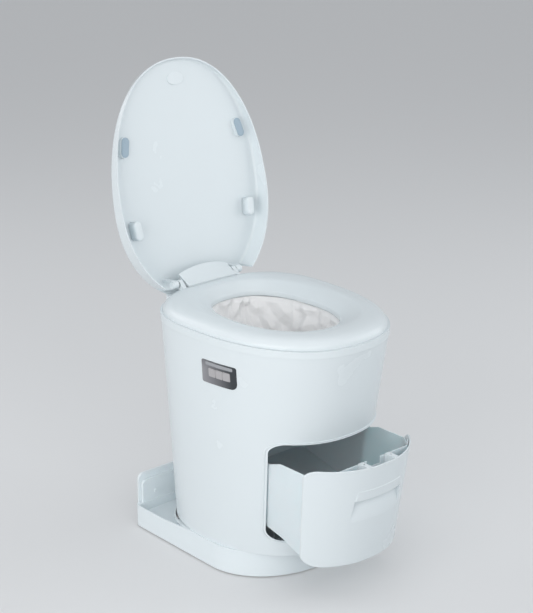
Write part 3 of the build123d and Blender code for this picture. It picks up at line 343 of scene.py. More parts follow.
def finishes():
    """Every finish by name."""
    shell, pad, tub = tuple(look().shell_colour), tuple(look().pad_colour), tuple(look().bin_colour)
    base, pale_pad = (tuple(c * lighter for c in shell) for lighter in (BASE_PAINTED_LIGHT, PAD_LIGHTER))
    made = {
        "shell_white": finish("shell_white", shell, 0.006, 0.27, 0.02, 1400.0, 0.000002, specular=0.45),
        # The base's white is the shell's, made lighter by painted bounce light from the floor
        "base_white_painted_light": finish("base_white_painted_light", base, 0.008, 0.34, 0.02, 1100.0, 0.000004),
        "pad_blue": finish("pad_blue", pad, 0.06, 0.62, 0.08, 1600.0, 0.00004),
        "pad_white": finish("pad_white", pale_pad, 0.04, 0.55, 0.06, 1600.0, 0.00004),
        "bin_blue": finish("bin_blue", tub, 0.008, 0.34, 0.02, 1200.0, 0.000004, soft_light=0.7),
        "bezel_painted_reflection": bezel_with_painted_reflection(),
    }
    for name, (*values, more) in PLAIN_FINISHES.items():
        made[name] = finish(name, *values, **more)
    return made


def body_of(node):
    """The body that carries the node."""
    return frame["nodes"][node]["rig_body"]


def mesh_object(name, points, faces):
    """An object at the origin from points in metres and faces of point numbers."""
    mesh = bpy.data.meshes.new(name)
    mesh.from_pydata(np.asarray(points, float).reshape(-1, 3).tolist(), [], faces)
    mesh.validate()
    mesh.update()
    obj = bpy.data.objects.new(name, mesh)
    bpy.context.scene.collection.objects.link(obj)
    return obj


def dress(obj, node, material):
    """The piece stands for node: it rides on its body, hides the node and takes the material."""
    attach(obj, body_of(node))
    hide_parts(node)
    obj.data.materials.clear()
    obj.data.materials.append(material)
    return obj


def mark_sharp(work, angle):
    """Edges above the angle, in degrees, are shown sharp and the rest smooth."""
    limit = math.radians(angle)
    for edge in work.edges:
        edge.smooth = not (edge.is_manifold and edge.calc_face_angle(0.0) > limit)


def smoothed_copy(node, sharp_angle, bevel):
    """The node's mesh with its points welded, shaded smooth up to an angle and its edges eased."""
    source = frame["nodes"][node]
    mesh = source.data.copy()
    mesh.name = f"{node}_finished"
    work = bmesh.new()
    work.from_mesh(mesh)
    bmesh.ops.remove_doubles(work, verts=work.verts, dist=FRAME_WELD)
    mark_sharp(work, sharp_angle)
    for face in work.faces:
        face.smooth = True
    work.to_mesh(mesh)
    work.free()
    obj = bpy.data.objects.new(f"{node}_finished", mesh)
    bpy.context.scene.collection.objects.link(obj)
    if bevel:
        easing = obj.modifiers.new("eased edges", "BEVEL")
        easing.width = bevel * MM
        easing.segments = 2
        easing.limit_method = "ANGLE"
        easing.angle_limit = math.radians(sharp_angle)
        easing.harden_normals = True
        easing.use_clamp_overlap = True
    return obj


class TOILET_OT_rigid_pieces(bpy.types.Operator):
    """Finish the rigid pieces: welded, smoothed and eased copies with their own materials"""

    bl_idname = "toilet.rigid_pieces"
    bl_label = "Rigid Pieces"

    def execute(self, context):
        made = finishes()
        for node, (material, angle, bevel) in FINISHES.items():
            if node not in frame["nodes"]:
                raise RuntimeError(f"the frame has no node {node}")
            dress(smoothed_copy(node, angle, bevel), node, made[material])
        return {"FINISHED"}


def closed_surface(name, points, capped=True):
    """Mesh of a grid of points, rows by columns, whose columns join into loops.

    A cap is a fan from the first or last row to its middle."""
    rows, columns = points.shape[:2]
    number = np.arange(rows * columns).reshape(rows, columns)
    beside = np.roll(number, -1, axis=1)
    quads = np.stack([number[:-1], beside[:-1], beside[1:], number[1:]], -1).reshape(-1, 4)
    places = [points.reshape(-1, 3)]
    faces = quads.tolist()
    if capped:
        places.append(points[[0, -1]].mean(axis=1))
        for tip, (first, second) in enumerate(((beside[0], number[0]), (number[-1], beside[-1]))):
            middle = np.full(columns, rows * columns + tip)
            faces += np.stack([first, second, middle], -1).tolist()
    obj = mesh_object(name, np.vstack(places), faces)
    obj.data.shade_smooth()
    return obj


def joined(name, pieces):
    """One object from several, in a new mesh."""
    work = bmesh.new()
    for piece in pieces:
        work.from_mesh(piece.data)
    bmesh.ops.recalc_face_normals(work, faces=work.faces)
    mesh = bpy.data.meshes.new(name)
    work.to_mesh(mesh)
    work.free()
    for piece in pieces:
        bpy.data.objects.remove(piece)
    obj = bpy.data.objects.new(name, mesh)
    bpy.context.scene.collection.objects.link(obj)
    obj.data.shade_smooth()
    return obj


# The seat's and the lid's shared hinge line, as y and z, and how far the open lid is turned back from shut
HINGE = (0.17335, 0.5291)
LID_LEAN = math.radians(103.0)


def opened(points):
    """Points drawn with the lid shut, turned about the hinge to the lid's open pose."""
    out = np.array(points, float)
    y, z = out[..., 1] - HINGE[0], out[..., 2] - HINGE[1]
    out[..., 1] = HINGE[0] + y * math.cos(LID_LEAN) + z * math.sin(LID_LEAN)
    out[..., 2] = HINGE[1] - y * math.sin(LID_LEAN) + z * math.cos(LID_LEAN)
    return out


# The shut lid's pan: its height at one y, and how much it rises in each metre behind that
PAN_Z, PAN_Y, PAN_RISE = 0.538, -0.118, 0.077
PAD_COLUMNS, PAD_ROWS = 48, 15
# Share of a pad's half width that its crown draws in, so that the last row keeps some width
PAD_DRAWN = 0.97


def pan_height(y):
    """Height of the lid's pan when the lid is shut."""
    return PAN_Z + PAN_RISE * (y - PAN_Y)


def pad_points(long, wide, middle, turn, low, high, crown):
    """Pill whose outline keeps a straight run of long - wide between half circles, drawn in along a
    quarter ellipse of height crown at its lower face, from a flat root at high down to low."""
    around = np.linspace(0, 2 * np.pi, PAD_COLUMNS, endpoint=False) + np.pi / PAD_COLUMNS
    rise = np.concatenate([[0.0], np.linspace(0, np.pi / 2, PAD_ROWS - 1)])
    drawn = wide / 2 * (1 - np.cos(rise)) * PAD_DRAWN
    height = high + (low + crown - high) * np.minimum(np.arange(PAD_ROWS), 1) - crown * np.sin(rise)
    radius = wide / 2 - drawn[:, None]
    run = (long - wide) / 2
    along = run * np.sign(np.cos(around)) + radius * np.cos(around)
    across = radius * np.sin(around)
    points = np.empty((PAD_ROWS, PAD_COLUMNS, 3))
    points[..., 0] = middle[0] + along * math.cos(turn) - across * math.sin(turn)
    points[..., 1] = middle[1] + along * math.sin(turn) + across * math.cos(turn)
    points[..., 2] = height[:, None]
    return points


# Height of the pads' lower faces when the lid is shut
PAD_LOW = 0.5276
PAD_SETS = (
    # node, material, long, wide, distance from the middle line, y, turn on the user's right, crown, root
    ("front_lid_pads", "pad_blue", 0.0398, 0.0173, 0.149, -0.118, 104.0, 0.0022, PAD_LOW + 0.0033),
    ("rear_lid_pads", "pad_white", 0.0388, 0.0178, 0.149, 0.050, 84.0, 0.0035, pan_height(0.050) - 0.0015),
)


class TOILET_OT_lid_pads(bpy.types.Operator):
    """Make the soft pads under the lid: crowned pills that stand on the pan or its bosses"""

    bl_idname = "toilet.lid_pads"
    bl_label = "Lid Pads"

    def execute(self, context):
        made = finishes()
        for node, material, long, wide, aside, y, turn, crown, root in PAD_SETS:
            pieces = []
            for side in (-1, 1):
                angle = math.radians(turn if side < 0 else 180 - turn)
                points = pad_points(long, wide, (side * aside, y), angle, PAD_LOW, root, crown)
                pieces.append(closed_surface(f"{node}_{side}", opened(points)))
            pads = dress(joined(f"{node}_crowned", pieces), node, made[material])
        return {"FINISHED"}


# The hole that the film hangs in: half width, reach ahead and behind, and the middle's y
HOLE_HALF = 0.108
HOLE_REACH = 0.152
HOLE_MIDDLE = -0.046


def ring(turn, half, reach, power):
    """Outline |x/half|^n + |y/reach|^n = 1 at each turn, as two arrays."""
    across, along = np.cos(turn), np.sin(turn)
    x = half * np.sign(across) * np.abs(across) ** (2 / power)
    y = reach * np.sign(along) * np.abs(along) ** (2 / power)
    return x, y


def creases(turn, drop, dice, sets):
    """Crumpled height, mostly within 1.3 either way: triangle waves whose ridges run down and aslant.

    A set is the number of waves around, how far its ridges lean in waves a metre, and its share. Each set's
    ridges stray on two slow waves, and fade in and out in patches made by two more."""
    height = np.zeros(np.broadcast(turn, drop).shape)
    for count, lean, share in sets:
        first, second, third = dice.uniform(0, 2 * np.pi, 3)
        stray = 0.9 * np.sin(3 * turn + 31 * drop + first) + 0.7 * np.sin(5 * turn - 47 * drop + second)
        phase = (count * turn + 2 * np.pi * lean * drop + stray + third) / (2 * np.pi)
        wave = 1 - 4 * np.abs(phase - np.floor(phase) - 0.5)
        patch = np.sin((2 + count % 5) * turn + 40 * drop + second) + np.sin(3 * turn - 55 * drop + first)
        height += share * wave * (0.5 + 0.5 * np.tanh(3.0 * patch))
    return height


# The film's crumples: the deep folds, then the shallow ones
FOLD_SETS = (
    (9, 3.0, 0.75), (14, -5.0, 0.65), (23, 2.0, 0.55), (7, 14.0, 0.60), (10, -18.0, 0.55),
    (37, 3.0, 0.26), (15, 27.0, 0.28), (12, -34.0, 0.22), (53, -4.0, 0.12),
)
FILM_SECTIONS = (
    # height, half width, reach, middle, power: under the seat's sleeve, at the funnel's waist, in the throat
    (0.4956, 0.1035, 0.1465, -0.040, 2.3),
    (0.4400, 0.0940, 0.1370, -0.045, 2.1),
    (0.3760, 0.0795, 0.0175, 0.0, 4.0),
)


def film_form(turn, down):
    """Tube through three egg outlines, one at each of down = 0, 1/2 and 1, by the quadratic through them."""
    weights = ((1 - down) * (1 - 2 * down), 4 * down * (1 - down), down * (2 * down - 1))
    x, y, z = 0.0, 0.0, 0.0
    for weight, (height, half, reach, middle, power) in zip(weights, FILM_SECTIONS):
        across, along = ring(turn, half, reach, power)
        x, y, z = x + weight * across, y + weight * (middle + along), z + weight * height
    return x, y, np.broadcast_to(z, np.shape(x))


def egg(turn, half, front, rear, front_power, rear_power, z, middle=0.0):
    """Outline |x/half|^n + |(y - middle)/reach|^n = 1 at height z.

    The power n and the reach are the front ones where y is ahead of the middle, and else the rear ones."""
    behind = np.sin(turn) > 0
    x, y = ring(turn, half, np.where(behind, rear, front), np.where(behind, rear_power, front_power))
    return np.stack([x, middle + y, np.full(turn.shape, z)], -1)


# The seat's outline at its underside: half width, reach ahead and behind, power ahead and behind
SEAT_EGG = (0.186, 0.27745, 0.1774, 2.33, 2.647)


def seat_egg(turn, inset, z):
    """The seat's outline at height z, drawn in by the inset."""
    *sizes, front_power, rear_power = SEAT_EGG
    return egg(turn, *(size - inset for size in sizes), front_power, rear_power, z)


def carried(keys, steps):
    """Rows between key outlines, each on the cubic whose slope at a key is half the step across it."""
    keys = np.asarray(keys)
    slope = np.empty_like(keys)
    slope[1:-1] = (keys[2:] - keys[:-2]) / 2
    slope[0], slope[-1] = keys[1] - keys[0], keys[-1] - keys[-2]
    place = np.linspace(0, len(keys) - 1, steps * (len(keys) - 1) + 1)
    cell = np.minimum(place.astype(int), len(keys) - 2)
    t = (place - cell)[:, None, None]
    return (
        keys[cell] * (2 * t**3 - 3 * t**2 + 1) + slope[cell] * (t**3 - 2 * t**2 + t)
        + keys[cell + 1] * (3 * t**2 - 2 * t**3) + slope[cell + 1] * (t**3 - t**2)
    )


def looped_surface(name, points):
    """Mesh of a grid of points whose rows and columns both join into loops."""
    rows, columns = points.shape[:2]
    number = np.arange(rows * columns).reshape(rows, columns)
    beside = np.roll(number, -1, axis=1)
    below, across = np.roll(number, -1, axis=0), np.roll(beside, -1, axis=0)
    quads = np.stack([number, beside, across, below], -1).reshape(-1, 4)
    obj = mesh_object(name, points.reshape(-1, 3), quads.tolist())
    obj.data.shade_smooth()
    return obj


def bar_across(name, outline, x0, x1):
    """Closed bar along X from a side-view outline of (y, z) points."""
    outline = np.asarray(outline)
    rows = np.empty((2, len(outline), 3))
    rows[0, :, 0], rows[1, :, 0] = x0, x1
    rows[..., 1:] = outline
    return closed_surface(name, rows)


def disc(radius, y, z, count=40):
    """Points of a circle in side view."""
    turn = np.linspace(0, 2 * np.pi, count, endpoint=False)
    return np.stack([y + radius * np.cos(turn), z + radius * np.sin(turn)], -1)


def sharpened(obj, angle):
    """Edges above the angle, in degrees, are shown sharp and the rest smooth."""
    work = bmesh.new()
    work.from_mesh(obj.data)
    mark_sharp(work, angle)
    work.to_mesh(obj.data)
    work.free()
    return obj


SEAT_LOW = 0.5048
SEAT_COLUMNS, SEAT_STEPS = 720, 5
# The seat's outer edge from its underside up: inset from its outline, and height above its underside
SEAT_EDGE = (
    (0.0, 0.0), (0.0001, 0.0025), (0.0004, 0.0050), (0.0012, 0.0074), (0.0024, 0.0095),
    (0.0060, 0.0140), (0.0125, 0.0180), (0.0210, 0.0203), (0.0320, 0.0213),
)
# From the top's crest down the dish, round the thin lip and back under it: half width, reach ahead and
# behind, power behind, height, and the middle's y
SEAT_DISH = (
    (0.1430, 0.2330, 0.1340, 2.5, 0.5259, 0.0), (0.1325, 0.1790, 0.1650, 2.4, 0.5240, -0.040),
    (0.1205, 0.1650, 0.1560, 2.4, 0.5190, -0.039), (0.1100, 0.1540, 0.1490, 2.4, 0.5132, -0.038),
    (0.1035, 0.1475, 0.1445, 2.4, 0.5092, -0.038), (0.1003, 0.1443, 0.1419, 2.4, 0.5066, -0.038),
    (0.0993, 0.1432, 0.1408, 2.4, 0.5036, -0.038), (0.0990, 0.1428, 0.1404, 2.4, 0.5000, -0.038),
    (0.0993, 0.1431, 0.1407, 2.4, 0.4976, -0.038), (0.1008, 0.1446, 0.1422, 2.4, 0.4962, -0.038),
    (0.1040, 0.1476, 0.1450, 2.4, 0.4958, -0.038), (0.1100, 0.1530, 0.1490, 2.4, 0.4992, -0.038),
    (0.1500, 0.2100, 0.1650, 2.4, 0.5060, -0.030),
)
SEAT_DISH_FRONT_POWER = 2.3
SEAT_UNDER_INSET, SEAT_UNDER_UP = 0.0040, 0.0003
# The seat's rear is cut straight, and further in over the hinge cover's width, with this ease between
SEAT_REAR_CUT = 0.165
COVER_NOTCH_CUT = 0.149
COVER_NOTCH_HALF = 0.066
COVER_NOTCH_EASE = 0.0008
# Lug from the seat back to the hinge in side view, its inner and outer x, and the knuckle round the pin
LUG = ((0.150, 0.507), (0.158, 0.5065), (0.176, 0.5218), (0.1674, 0.5346), (0.150, 0.519))
LUG_X = (0.0665, 0.076)
KNUCKLE_RADIUS = 0.008


class TOILET_OT_seat(bpy.types.Operator):
    """Make the seat: rounded edge, dished top, thin lip over the film, and two lugs on the hinge pins"""

    bl_idname = "toilet.seat"
    bl_label = "Seat"

    def execute(self, context):
        turn = np.linspace(0, 2 * np.pi, SEAT_COLUMNS, endpoint=False)
        edge = [seat_egg(turn, inset, SEAT_LOW + up) for inset, up in SEAT_EDGE]
        dish = [
            egg(turn, half, front, rear, SEAT_DISH_FRONT_POWER, rear_power, z, middle)
            for half, front, rear, rear_power, z, middle in SEAT_DISH
        ]
        under = seat_egg(turn, SEAT_UNDER_INSET, SEAT_LOW + SEAT_UNDER_UP)
        points = carried([*edge, *dish, under], SEAT_STEPS)
        past = COVER_NOTCH_HALF + COVER_NOTCH_EASE / 2 - np.abs(points[..., 0])
        notch = np.clip(past / COVER_NOTCH_EASE, 0, 1)
        limit = SEAT_REAR_CUT - (SEAT_REAR_CUT - COVER_NOTCH_CUT) * notch
        points[..., 1] = np.minimum(points[..., 1], limit)
        pieces = [looped_surface("seat_dome", points)]
        for side in (-1, 1):
            near, far = sorted(side * x for x in LUG_X)
            pieces.append(bar_across("lug", LUG, near, far))
            pieces.append(bar_across("knuckle", disc(KNUCKLE_RADIUS, *HINGE), near, far))
        seat = sharpened(joined("seat_ring_dished", pieces), angle=40)
        dress(seat, "seat_ring", finishes()["shell_white"])
        return {"FINISHED"}


# The body's front skin at two heights: z, half width, reach ahead, power
SKIN_LOW = (0.0570, 0.16734, 0.21393, 2.22)
SKIN_HIGH = (0.49073, 0.18970, 0.28115, 2.33)


def skin_y(x, z, grow=0.0):
    """Y of the body's front skin, moved out by grow, where |x/half|^n + |y/reach|^n = 1.

    The half width, the reach and the power n change evenly with z."""
    rise = (z - SKIN_LOW[0]) / (SKIN_HIGH[0] - SKIN_LOW[0])
    half, reach, power = (low + rise * (high - low) for low, high in zip(SKIN_LOW[1:], SKIN_HIGH[1:]))
    return -(reach + grow) * (1 - np.abs(x / (half + grow)) ** power) ** (1 / power)


# The drawer opening's corners anticlockwise in front view: x, z, radius
OPENING = ((-0.130, 0.093, 0.026), (0.130, 0.093, 0.026), (0.1415, 0.308, 0.020), (-0.1415, 0.308, 0.020))
CORNER_POINTS = 40


def opening_path(count):
    """Even points along the drawer opening's rounded outline in front view, and their outward normals."""
    corners = np.array(OPENING)
    run = []
    for here, before, after in zip(corners, np.roll(corners, 1, 0), np.roll(corners, -1, 0)):
        back, on = before[:2] - here[:2], after[:2] - here[:2]
        back, on = back / np.hypot(*back), on / np.hypot(*on)
        half = math.acos(np.dot(back, on)) / 2
        inward = (back + on) / np.hypot(*(back + on))
        centre = here[:2] + inward * here[2] / math.sin(half)
        start, end = (here[:2] + side * here[2] / math.tan(half) - centre for side in (back, on))
        t = np.linspace(0, 1, CORNER_POINTS)[:, None]
        wide = math.pi - 2 * half
        run.append(centre + (np.sin((1 - t) * wide) * start + np.sin(t * wide) * end) / math.sin(wide))
    run = np.vstack(run + [run[0][:1]])
    length = np.concatenate([[0], np.cumsum(np.hypot(*np.diff(run, axis=0).T))])
    place = np.linspace(0, length[-1], count, endpoint=False)
    path = np.stack([np.interp(place, length, run[:, 0]), np.interp(place, length, run[:, 1])], -1)
    step = np.roll(path, -1, 0) - np.roll(path, 1, 0)
    normal = np.stack([step[:, 1], -step[:, 0]], -1) / np.hypot(*step.T)[:, None]
    return path, normal


TRIM_ROWS, BEAD_POINTS = 720, 12
# The trim's section, as distance out from the opening's edge and out from the skin: where its two sides start
# inside the skin, its beads' middles and radii, and the floor of the groove between them
TRIM_SIDES = ((0.0003, -0.0025), (0.0054, -0.0025))
TRIM_BEADS = ((0.0015, 0.0003, 0.0012), (0.0043, 0.0001, 0.0011))
TRIM_GROOVE = (0.0029, -0.0006)


class TOILET_OT_trim(bpy.types.Operator):
    """Make the trim round the drawer opening: two beads with a groove between, lying on the skin"""

    bl_idname = "toilet.trim"
    bl_label = "Opening Trim"

    def execute(self, context):
        path, normal = opening_path(TRIM_ROWS)
        arc = np.linspace(math.pi, 0, BEAD_POINTS)
        inner, outer = (
            np.stack([out + radius * np.cos(arc), proud + radius * np.sin(arc)], -1)
            for out, proud, radius in TRIM_BEADS
        )
        section = np.vstack([TRIM_SIDES[0], inner, TRIM_GROOVE, outer, TRIM_SIDES[1]])
        points = np.empty((len(path), len(section), 3))
        points[..., 0] = path[:, None, 0] + normal[:, None, 0] * section[None, :, 0]
        points[..., 2] = path[:, None, 1] + normal[:, None, 1] * section[None, :, 0]
        points[..., 1] = skin_y(points[..., 0], points[..., 2], section[None, :, 1])
        trim = sharpened(joined("opening_trim_beaded", [looped_surface("trim", points)]), angle=50)
        dress(trim, "opening_trim", finishes()["shell_white"])
        return {"FINISHED"}


def eased(value):
    """Smooth step from 0 to 1."""
    t = np.clip(value, 0, 1)
    return t * t * (3 - 2 * t)


def inside_rounded(x, z, half, low, high, low_radius, high_radius):
    """How far a point lies inside a rounded rectangle about x = 0."""
    middle, tall = (low + high) / 2, (high - low) / 2
    radius = np.where(z > middle, high_radius, low_radius)
    across, up = np.abs(x) - (half - radius), np.abs(z - middle) - (tall - radius)
    beyond = np.hypot(np.maximum(across, 0), np.maximum(up, 0))
    return radius - beyond - np.minimum(np.maximum(across, up), 0)


# The drawer's front where it stands when shut: its z from low to high, half width there, corners, wall and
# the rounding of its edge
PANEL_LOW, PANEL_HIGH = 0.0945, 0.3065
PANEL_HALF_LOW, PANEL_HALF_HIGH = 0.1285, 0.1400
PANEL_LOW_RADIUS, PANEL_HIGH_RADIUS = 0.0245, 0.0185
PANEL_WALL = 0.0030
PANEL_EASE = 0.0013
# The raised plate: its top, the lip at its foot, where its outline ends behind the recess, its half width at
# the top and how that grows below, corners, how far it stands out, its edge's ease and the lip's rounding
PLATE_TOP = 0.257
LIP = 0.236
PLATE_FOOT = LIP - 0.030
PLATE_HALF, PLATE_FLARE = 0.0585, 0.12
PLATE_FOOT_RADIUS, PLATE_TOP_RADIUS = 0.002, 0.005
PLATE_PROUD = 0.0008
PLATE_EASE = 0.0011
LIP_ROLL = 0.0015
# The recess under the plate's lip: foot, greatest depth, the power that it deepens by, the ease at its sides
# with how much of that is done at the plate's edge, and the share that the inner face follows
RECESS_LOW = 0.190
RECESS_DEPTH = 0.0130
RECESS_POWER = 1.45
RECESS_EASE, RECESS_EASE_START = 0.0012, 0.25
RECESS_INNER_SHARE = 0.9
# Rows up the panel, as first, last and count: to the recess, through it, on the plate, over the plate's top
# and above it; and the close rows at the lip, in millimetres from it
PANEL_RUNS = (
    (0.123, 0.187, 9), (0.189, 0.2345, 40), (0.239, 0.2545, 8), (0.2552, 0.2582, 12), (0.260, 0.285, 6),
)
LIP_ROWS = (-1.1, -0.8, -0.5, -0.3, 0.0, 0.1, 0.3, 0.6, 1.0, 1.5)
CORNER_ROWS = 26
# Columns from the middle, as shares of the plate's half width up to just past its edge, and how many lie
# between there and the panel's edge
PLATE_COLUMNS = ((0.0, 0.95, 20), (0.957, 1.03, 16))
OUTER_COLUMNS = 30
# From the shut drawer to the photographed pose
DRAWER_SHIFT = (0.0, -0.0969, -0.021)


def panel_grid():
    """Heights of the panel's rows, their half widths and plate half widths, and x for each point."""
    bend = 1 - np.cos(np.linspace(0, math.pi / 2, CORNER_ROWS))
    runs = [np.linspace(*run) for run in PANEL_RUNS]
    z = np.concatenate([
        PANEL_LOW + PANEL_LOW_RADIUS * bend, *runs[:2], LIP + MM * np.array(LIP_ROWS), *runs[2:],
        PANEL_HIGH - PANEL_HIGH_RADIUS * bend[::-1],
    ])[:, None]
    rise = (z - PANEL_LOW) / (PANEL_HIGH - PANEL_LOW)
    half = PANEL_HALF_LOW + rise * (PANEL_HALF_HIGH - PANEL_HALF_LOW)
    radius = np.where(rise > 0.5, PANEL_HIGH_RADIUS, PANEL_LOW_RADIUS)
    into = np.maximum(radius - np.minimum(z - PANEL_LOW, PANEL_HIGH - z), 0)
    edge = half - radius + np.sqrt(np.maximum(radius**2 - into**2, 0))
    grip = PLATE_HALF + PLATE_FLARE * np.clip(PLATE_TOP - z, 0, PLATE_TOP - RECESS_LOW)
    inner = grip * np.concatenate([np.linspace(*run) for run in PLATE_COLUMNS])[None, :]
    outer = (1 - (1 - np.linspace(0, 1, OUTER_COLUMNS + 1)[1:]) ** 3)[None, :]
    side = np.concatenate([inner, inner[:, -1:] + outer * (edge - inner[:, -1:])], axis=1)
    return z, half, grip, np.concatenate([-side[:, :0:-1], side], axis=1)


class TOILET_OT_drawer_front(bpy.types.Operator):
    """Make the drawer's front: a curved panel with an eased edge, and a raised plate over a recess"""

    bl_idname = "toilet.drawer_front"
    bl_label = "Drawer Front"

    def execute(self, context):
        z, half, grip, x = panel_grid()
        inside = inside_rounded(x, z, half, PANEL_LOW, PANEL_HIGH, PANEL_LOW_RADIUS, PANEL_HIGH_RADIUS)
        short = PANEL_EASE - np.clip(inside, 0, PANEL_EASE)
        thick = PANEL_WALL / 2 - PANEL_EASE + np.sqrt(PANEL_EASE**2 - short**2)
        plate = inside_rounded(x, z, grip, PLATE_FOOT, PLATE_TOP, PLATE_FOOT_RADIUS, PLATE_TOP_RADIUS)
        curl = LIP_ROLL - np.clip(z - LIP, 0, LIP_ROLL)
        rolled = LIP_ROLL - np.sqrt(LIP_ROLL**2 - curl**2)
        raised = PLATE_PROUD * eased(plate / PLATE_EASE) - rolled * (np.abs(x) < grip)
        deep = RECESS_DEPTH * np.clip((z - RECESS_LOW) / (LIP - RECESS_LOW), 0, 1) ** RECESS_POWER
        deep = deep * eased((grip - np.abs(x)) / RECESS_EASE + RECESS_EASE_START)
        relief = np.where(z >= LIP, -raised, deep)
        outside = PANEL_WALL / 2 - thick + relief
        within = PANEL_WALL / 2 + thick + np.maximum(relief, 0) * RECESS_INNER_SHARE
        faces = []
        for inset in (outside, within):
            faces.append(np.stack([x, skin_y(x, z, -inset), np.broadcast_to(z, x.shape)], -1))
        loop = np.concatenate([faces[0], faces[1][:, ::-1]], axis=1)
        middle = (faces[0] + faces[1]) / 2
        ends = [np.concatenate([middle[row], middle[row, ::-1]])[None] for row in (0, -1)]
        points = np.concatenate([ends[0], loop, ends[1]]) + DRAWER_SHIFT
        sheet = closed_surface("panel", points, capped=False)
        work = bmesh.new()
        work.from_mesh(sheet.data)
        bmesh.ops.remove_doubles(work, verts=work.verts, dist=GRID_WELD)
        work.to_mesh(sheet.data)
        work.free()
        panel = sharpened(joined("drawer_front_panel", [sheet]), angle=38)
        dress(panel, "drawer_front", finishes()["shell_white"])
        return {"FINISHED"}


FILM_COLUMNS, FILM_ROWS = 576, 78
FILM_SEED = 7
FILM_WALL = 0.00025
# The folds' depth starts at a share of its full size at the rim, gains this much over the film's whole height
# until it is full, and loses this share of itself towards the throat
FOLD_RIM_SHARE, FOLD_GAIN, FOLD_THROAT_LOSS = 0.15, 10, 0.6
# Height added to the crumples so that they stand inwards from the tube, and the least that is left of it
FOLD_LIFT, FOLD_LEAST = 1.4, 0.1
# The folded supply: columns and rows, half the width of its section, how far its middle lies outside the
# hole, room above and below, powers of its section and of its outline, and its pleats' depth, waves and slant
PACK_COLUMNS, PACK_ROWS = 720, 24
PACK_HALF = 0.0055
PACK_ASIDE = 0.0214
PACK_ROOM = 0.0004
PACK_SECTION_POWER, PACK_POWER = 6.0, 2.1
PLEAT_DEPTH, PLEAT_WAVES, PLEAT_SLANT = 0.00045, 120, 6


def folded_film():
    """The bowl's film: the tube of film_form, moved in towards its middle line by crumpled folds."""
    turn = np.linspace(0, 2 * np.pi, FILM_COLUMNS, endpoint=False)[None, :]
    down = np.linspace(0, 1, FILM_ROWS)[:, None]
    x, y, z = film_form(turn, down)
    fold = creases(turn, z[0, 0] - z, np.random.RandomState(FILM_SEED), FOLD_SETS)
    depth = look().fold_depth * np.clip(FOLD_RIM_SHARE + down * FOLD_GAIN, 0, 1)
    depth = depth * (1 - FOLD_THROAT_LOSS * down**2)
    middle = HOLE_MIDDLE * (1 - down)
    inward = depth * np.maximum(FOLD_LIFT + fold, FOLD_LEAST) / np.hypot(x, y - middle)
    points = np.stack([x * (1 - inward), y - (y - middle) * inward, z], -1)
    film = closed_surface("film_liner_folded", points, capped=False)
    wall = film.modifiers.new("film wall", "SOLIDIFY")
    wall.thickness = FILM_WALL
    wall.offset = 0.0
    return film


def pleated_pack():
    """The folded supply: a ring whose section is a square-cornered loop, pleated around."""
    turn = np.linspace(0, 2 * np.pi, PACK_COLUMNS, endpoint=False)[None, :]
    loop = np.linspace(0, 2 * np.pi, PACK_ROWS, endpoint=False)[:, None]
    low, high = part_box("film_pack")
    broad, tall = ring(loop, PACK_HALF, (high[2] - low[2]) / 2 - PACK_ROOM, PACK_SECTION_POWER)
    pleat = PLEAT_DEPTH * np.abs(np.sin(PLEAT_WAVES * turn + PLEAT_SLANT * np.sin(loop)))
    out = PACK_ASIDE + broad - pleat
    x, y = ring(turn, HOLE_HALF + out, HOLE_REACH + out, PACK_POWER)
    z = np.broadcast_to((low[2] + high[2]) / 2 + tall, x.shape)
    return looped_surface("film_pack_pleated", np.stack([x, HOLE_MIDDLE + y, z], -1))


class TOILET_OT_film(bpy.types.Operator):
    """Make the film that lines the bowl, crumpled as a drawn-down tube is, and its folded supply"""

    bl_idname = "toilet.film"
    bl_label = "Film Liner"

    def execute(self, context):
        made = finishes()
        dress(folded_film(), "film_liner", made["film_clear"])
        dress(pleated_pack(), "film_pack", made["film_clear"])
        return {"FINISHED"}


FLOOR_HALF = 9.0
FLOOR_COLOUR = (0.60, 0.61, 0.62, 1)
FLOOR_ROUGHNESS = 0.85
FLOOR_GLOW = 0.14
SKY_COLOUR = (0.93, 0.96, 1.0, 1)
SKY_STRENGTH = 0.50
LAMPS = (
    # name, place, side of the square, power in watts, colour
    ("key", (-1.5, -2.8, 2.2), 2.2, 24.0, (1.0, 0.99, 0.98)),
    ("side", (-3.0, -1.0, 1.0), 2.4, 50.0, (1.0, 0.99, 0.98)),
    ("fill", (2.6, -1.6, 1.4), 2.6, 32.0, (0.97, 0.99, 1.0)),
    ("overhead", (0.1, -0.3, 3.4), 2.0, 9.0, (1.0, 1.0, 1.0)),
    ("rim", (-1.0, 2.6, 2.2), 1.8, 14.0, (1.0, 1.0, 1.0)),
)
SENSOR_MM = 36.0
VIEW_END = 50.0


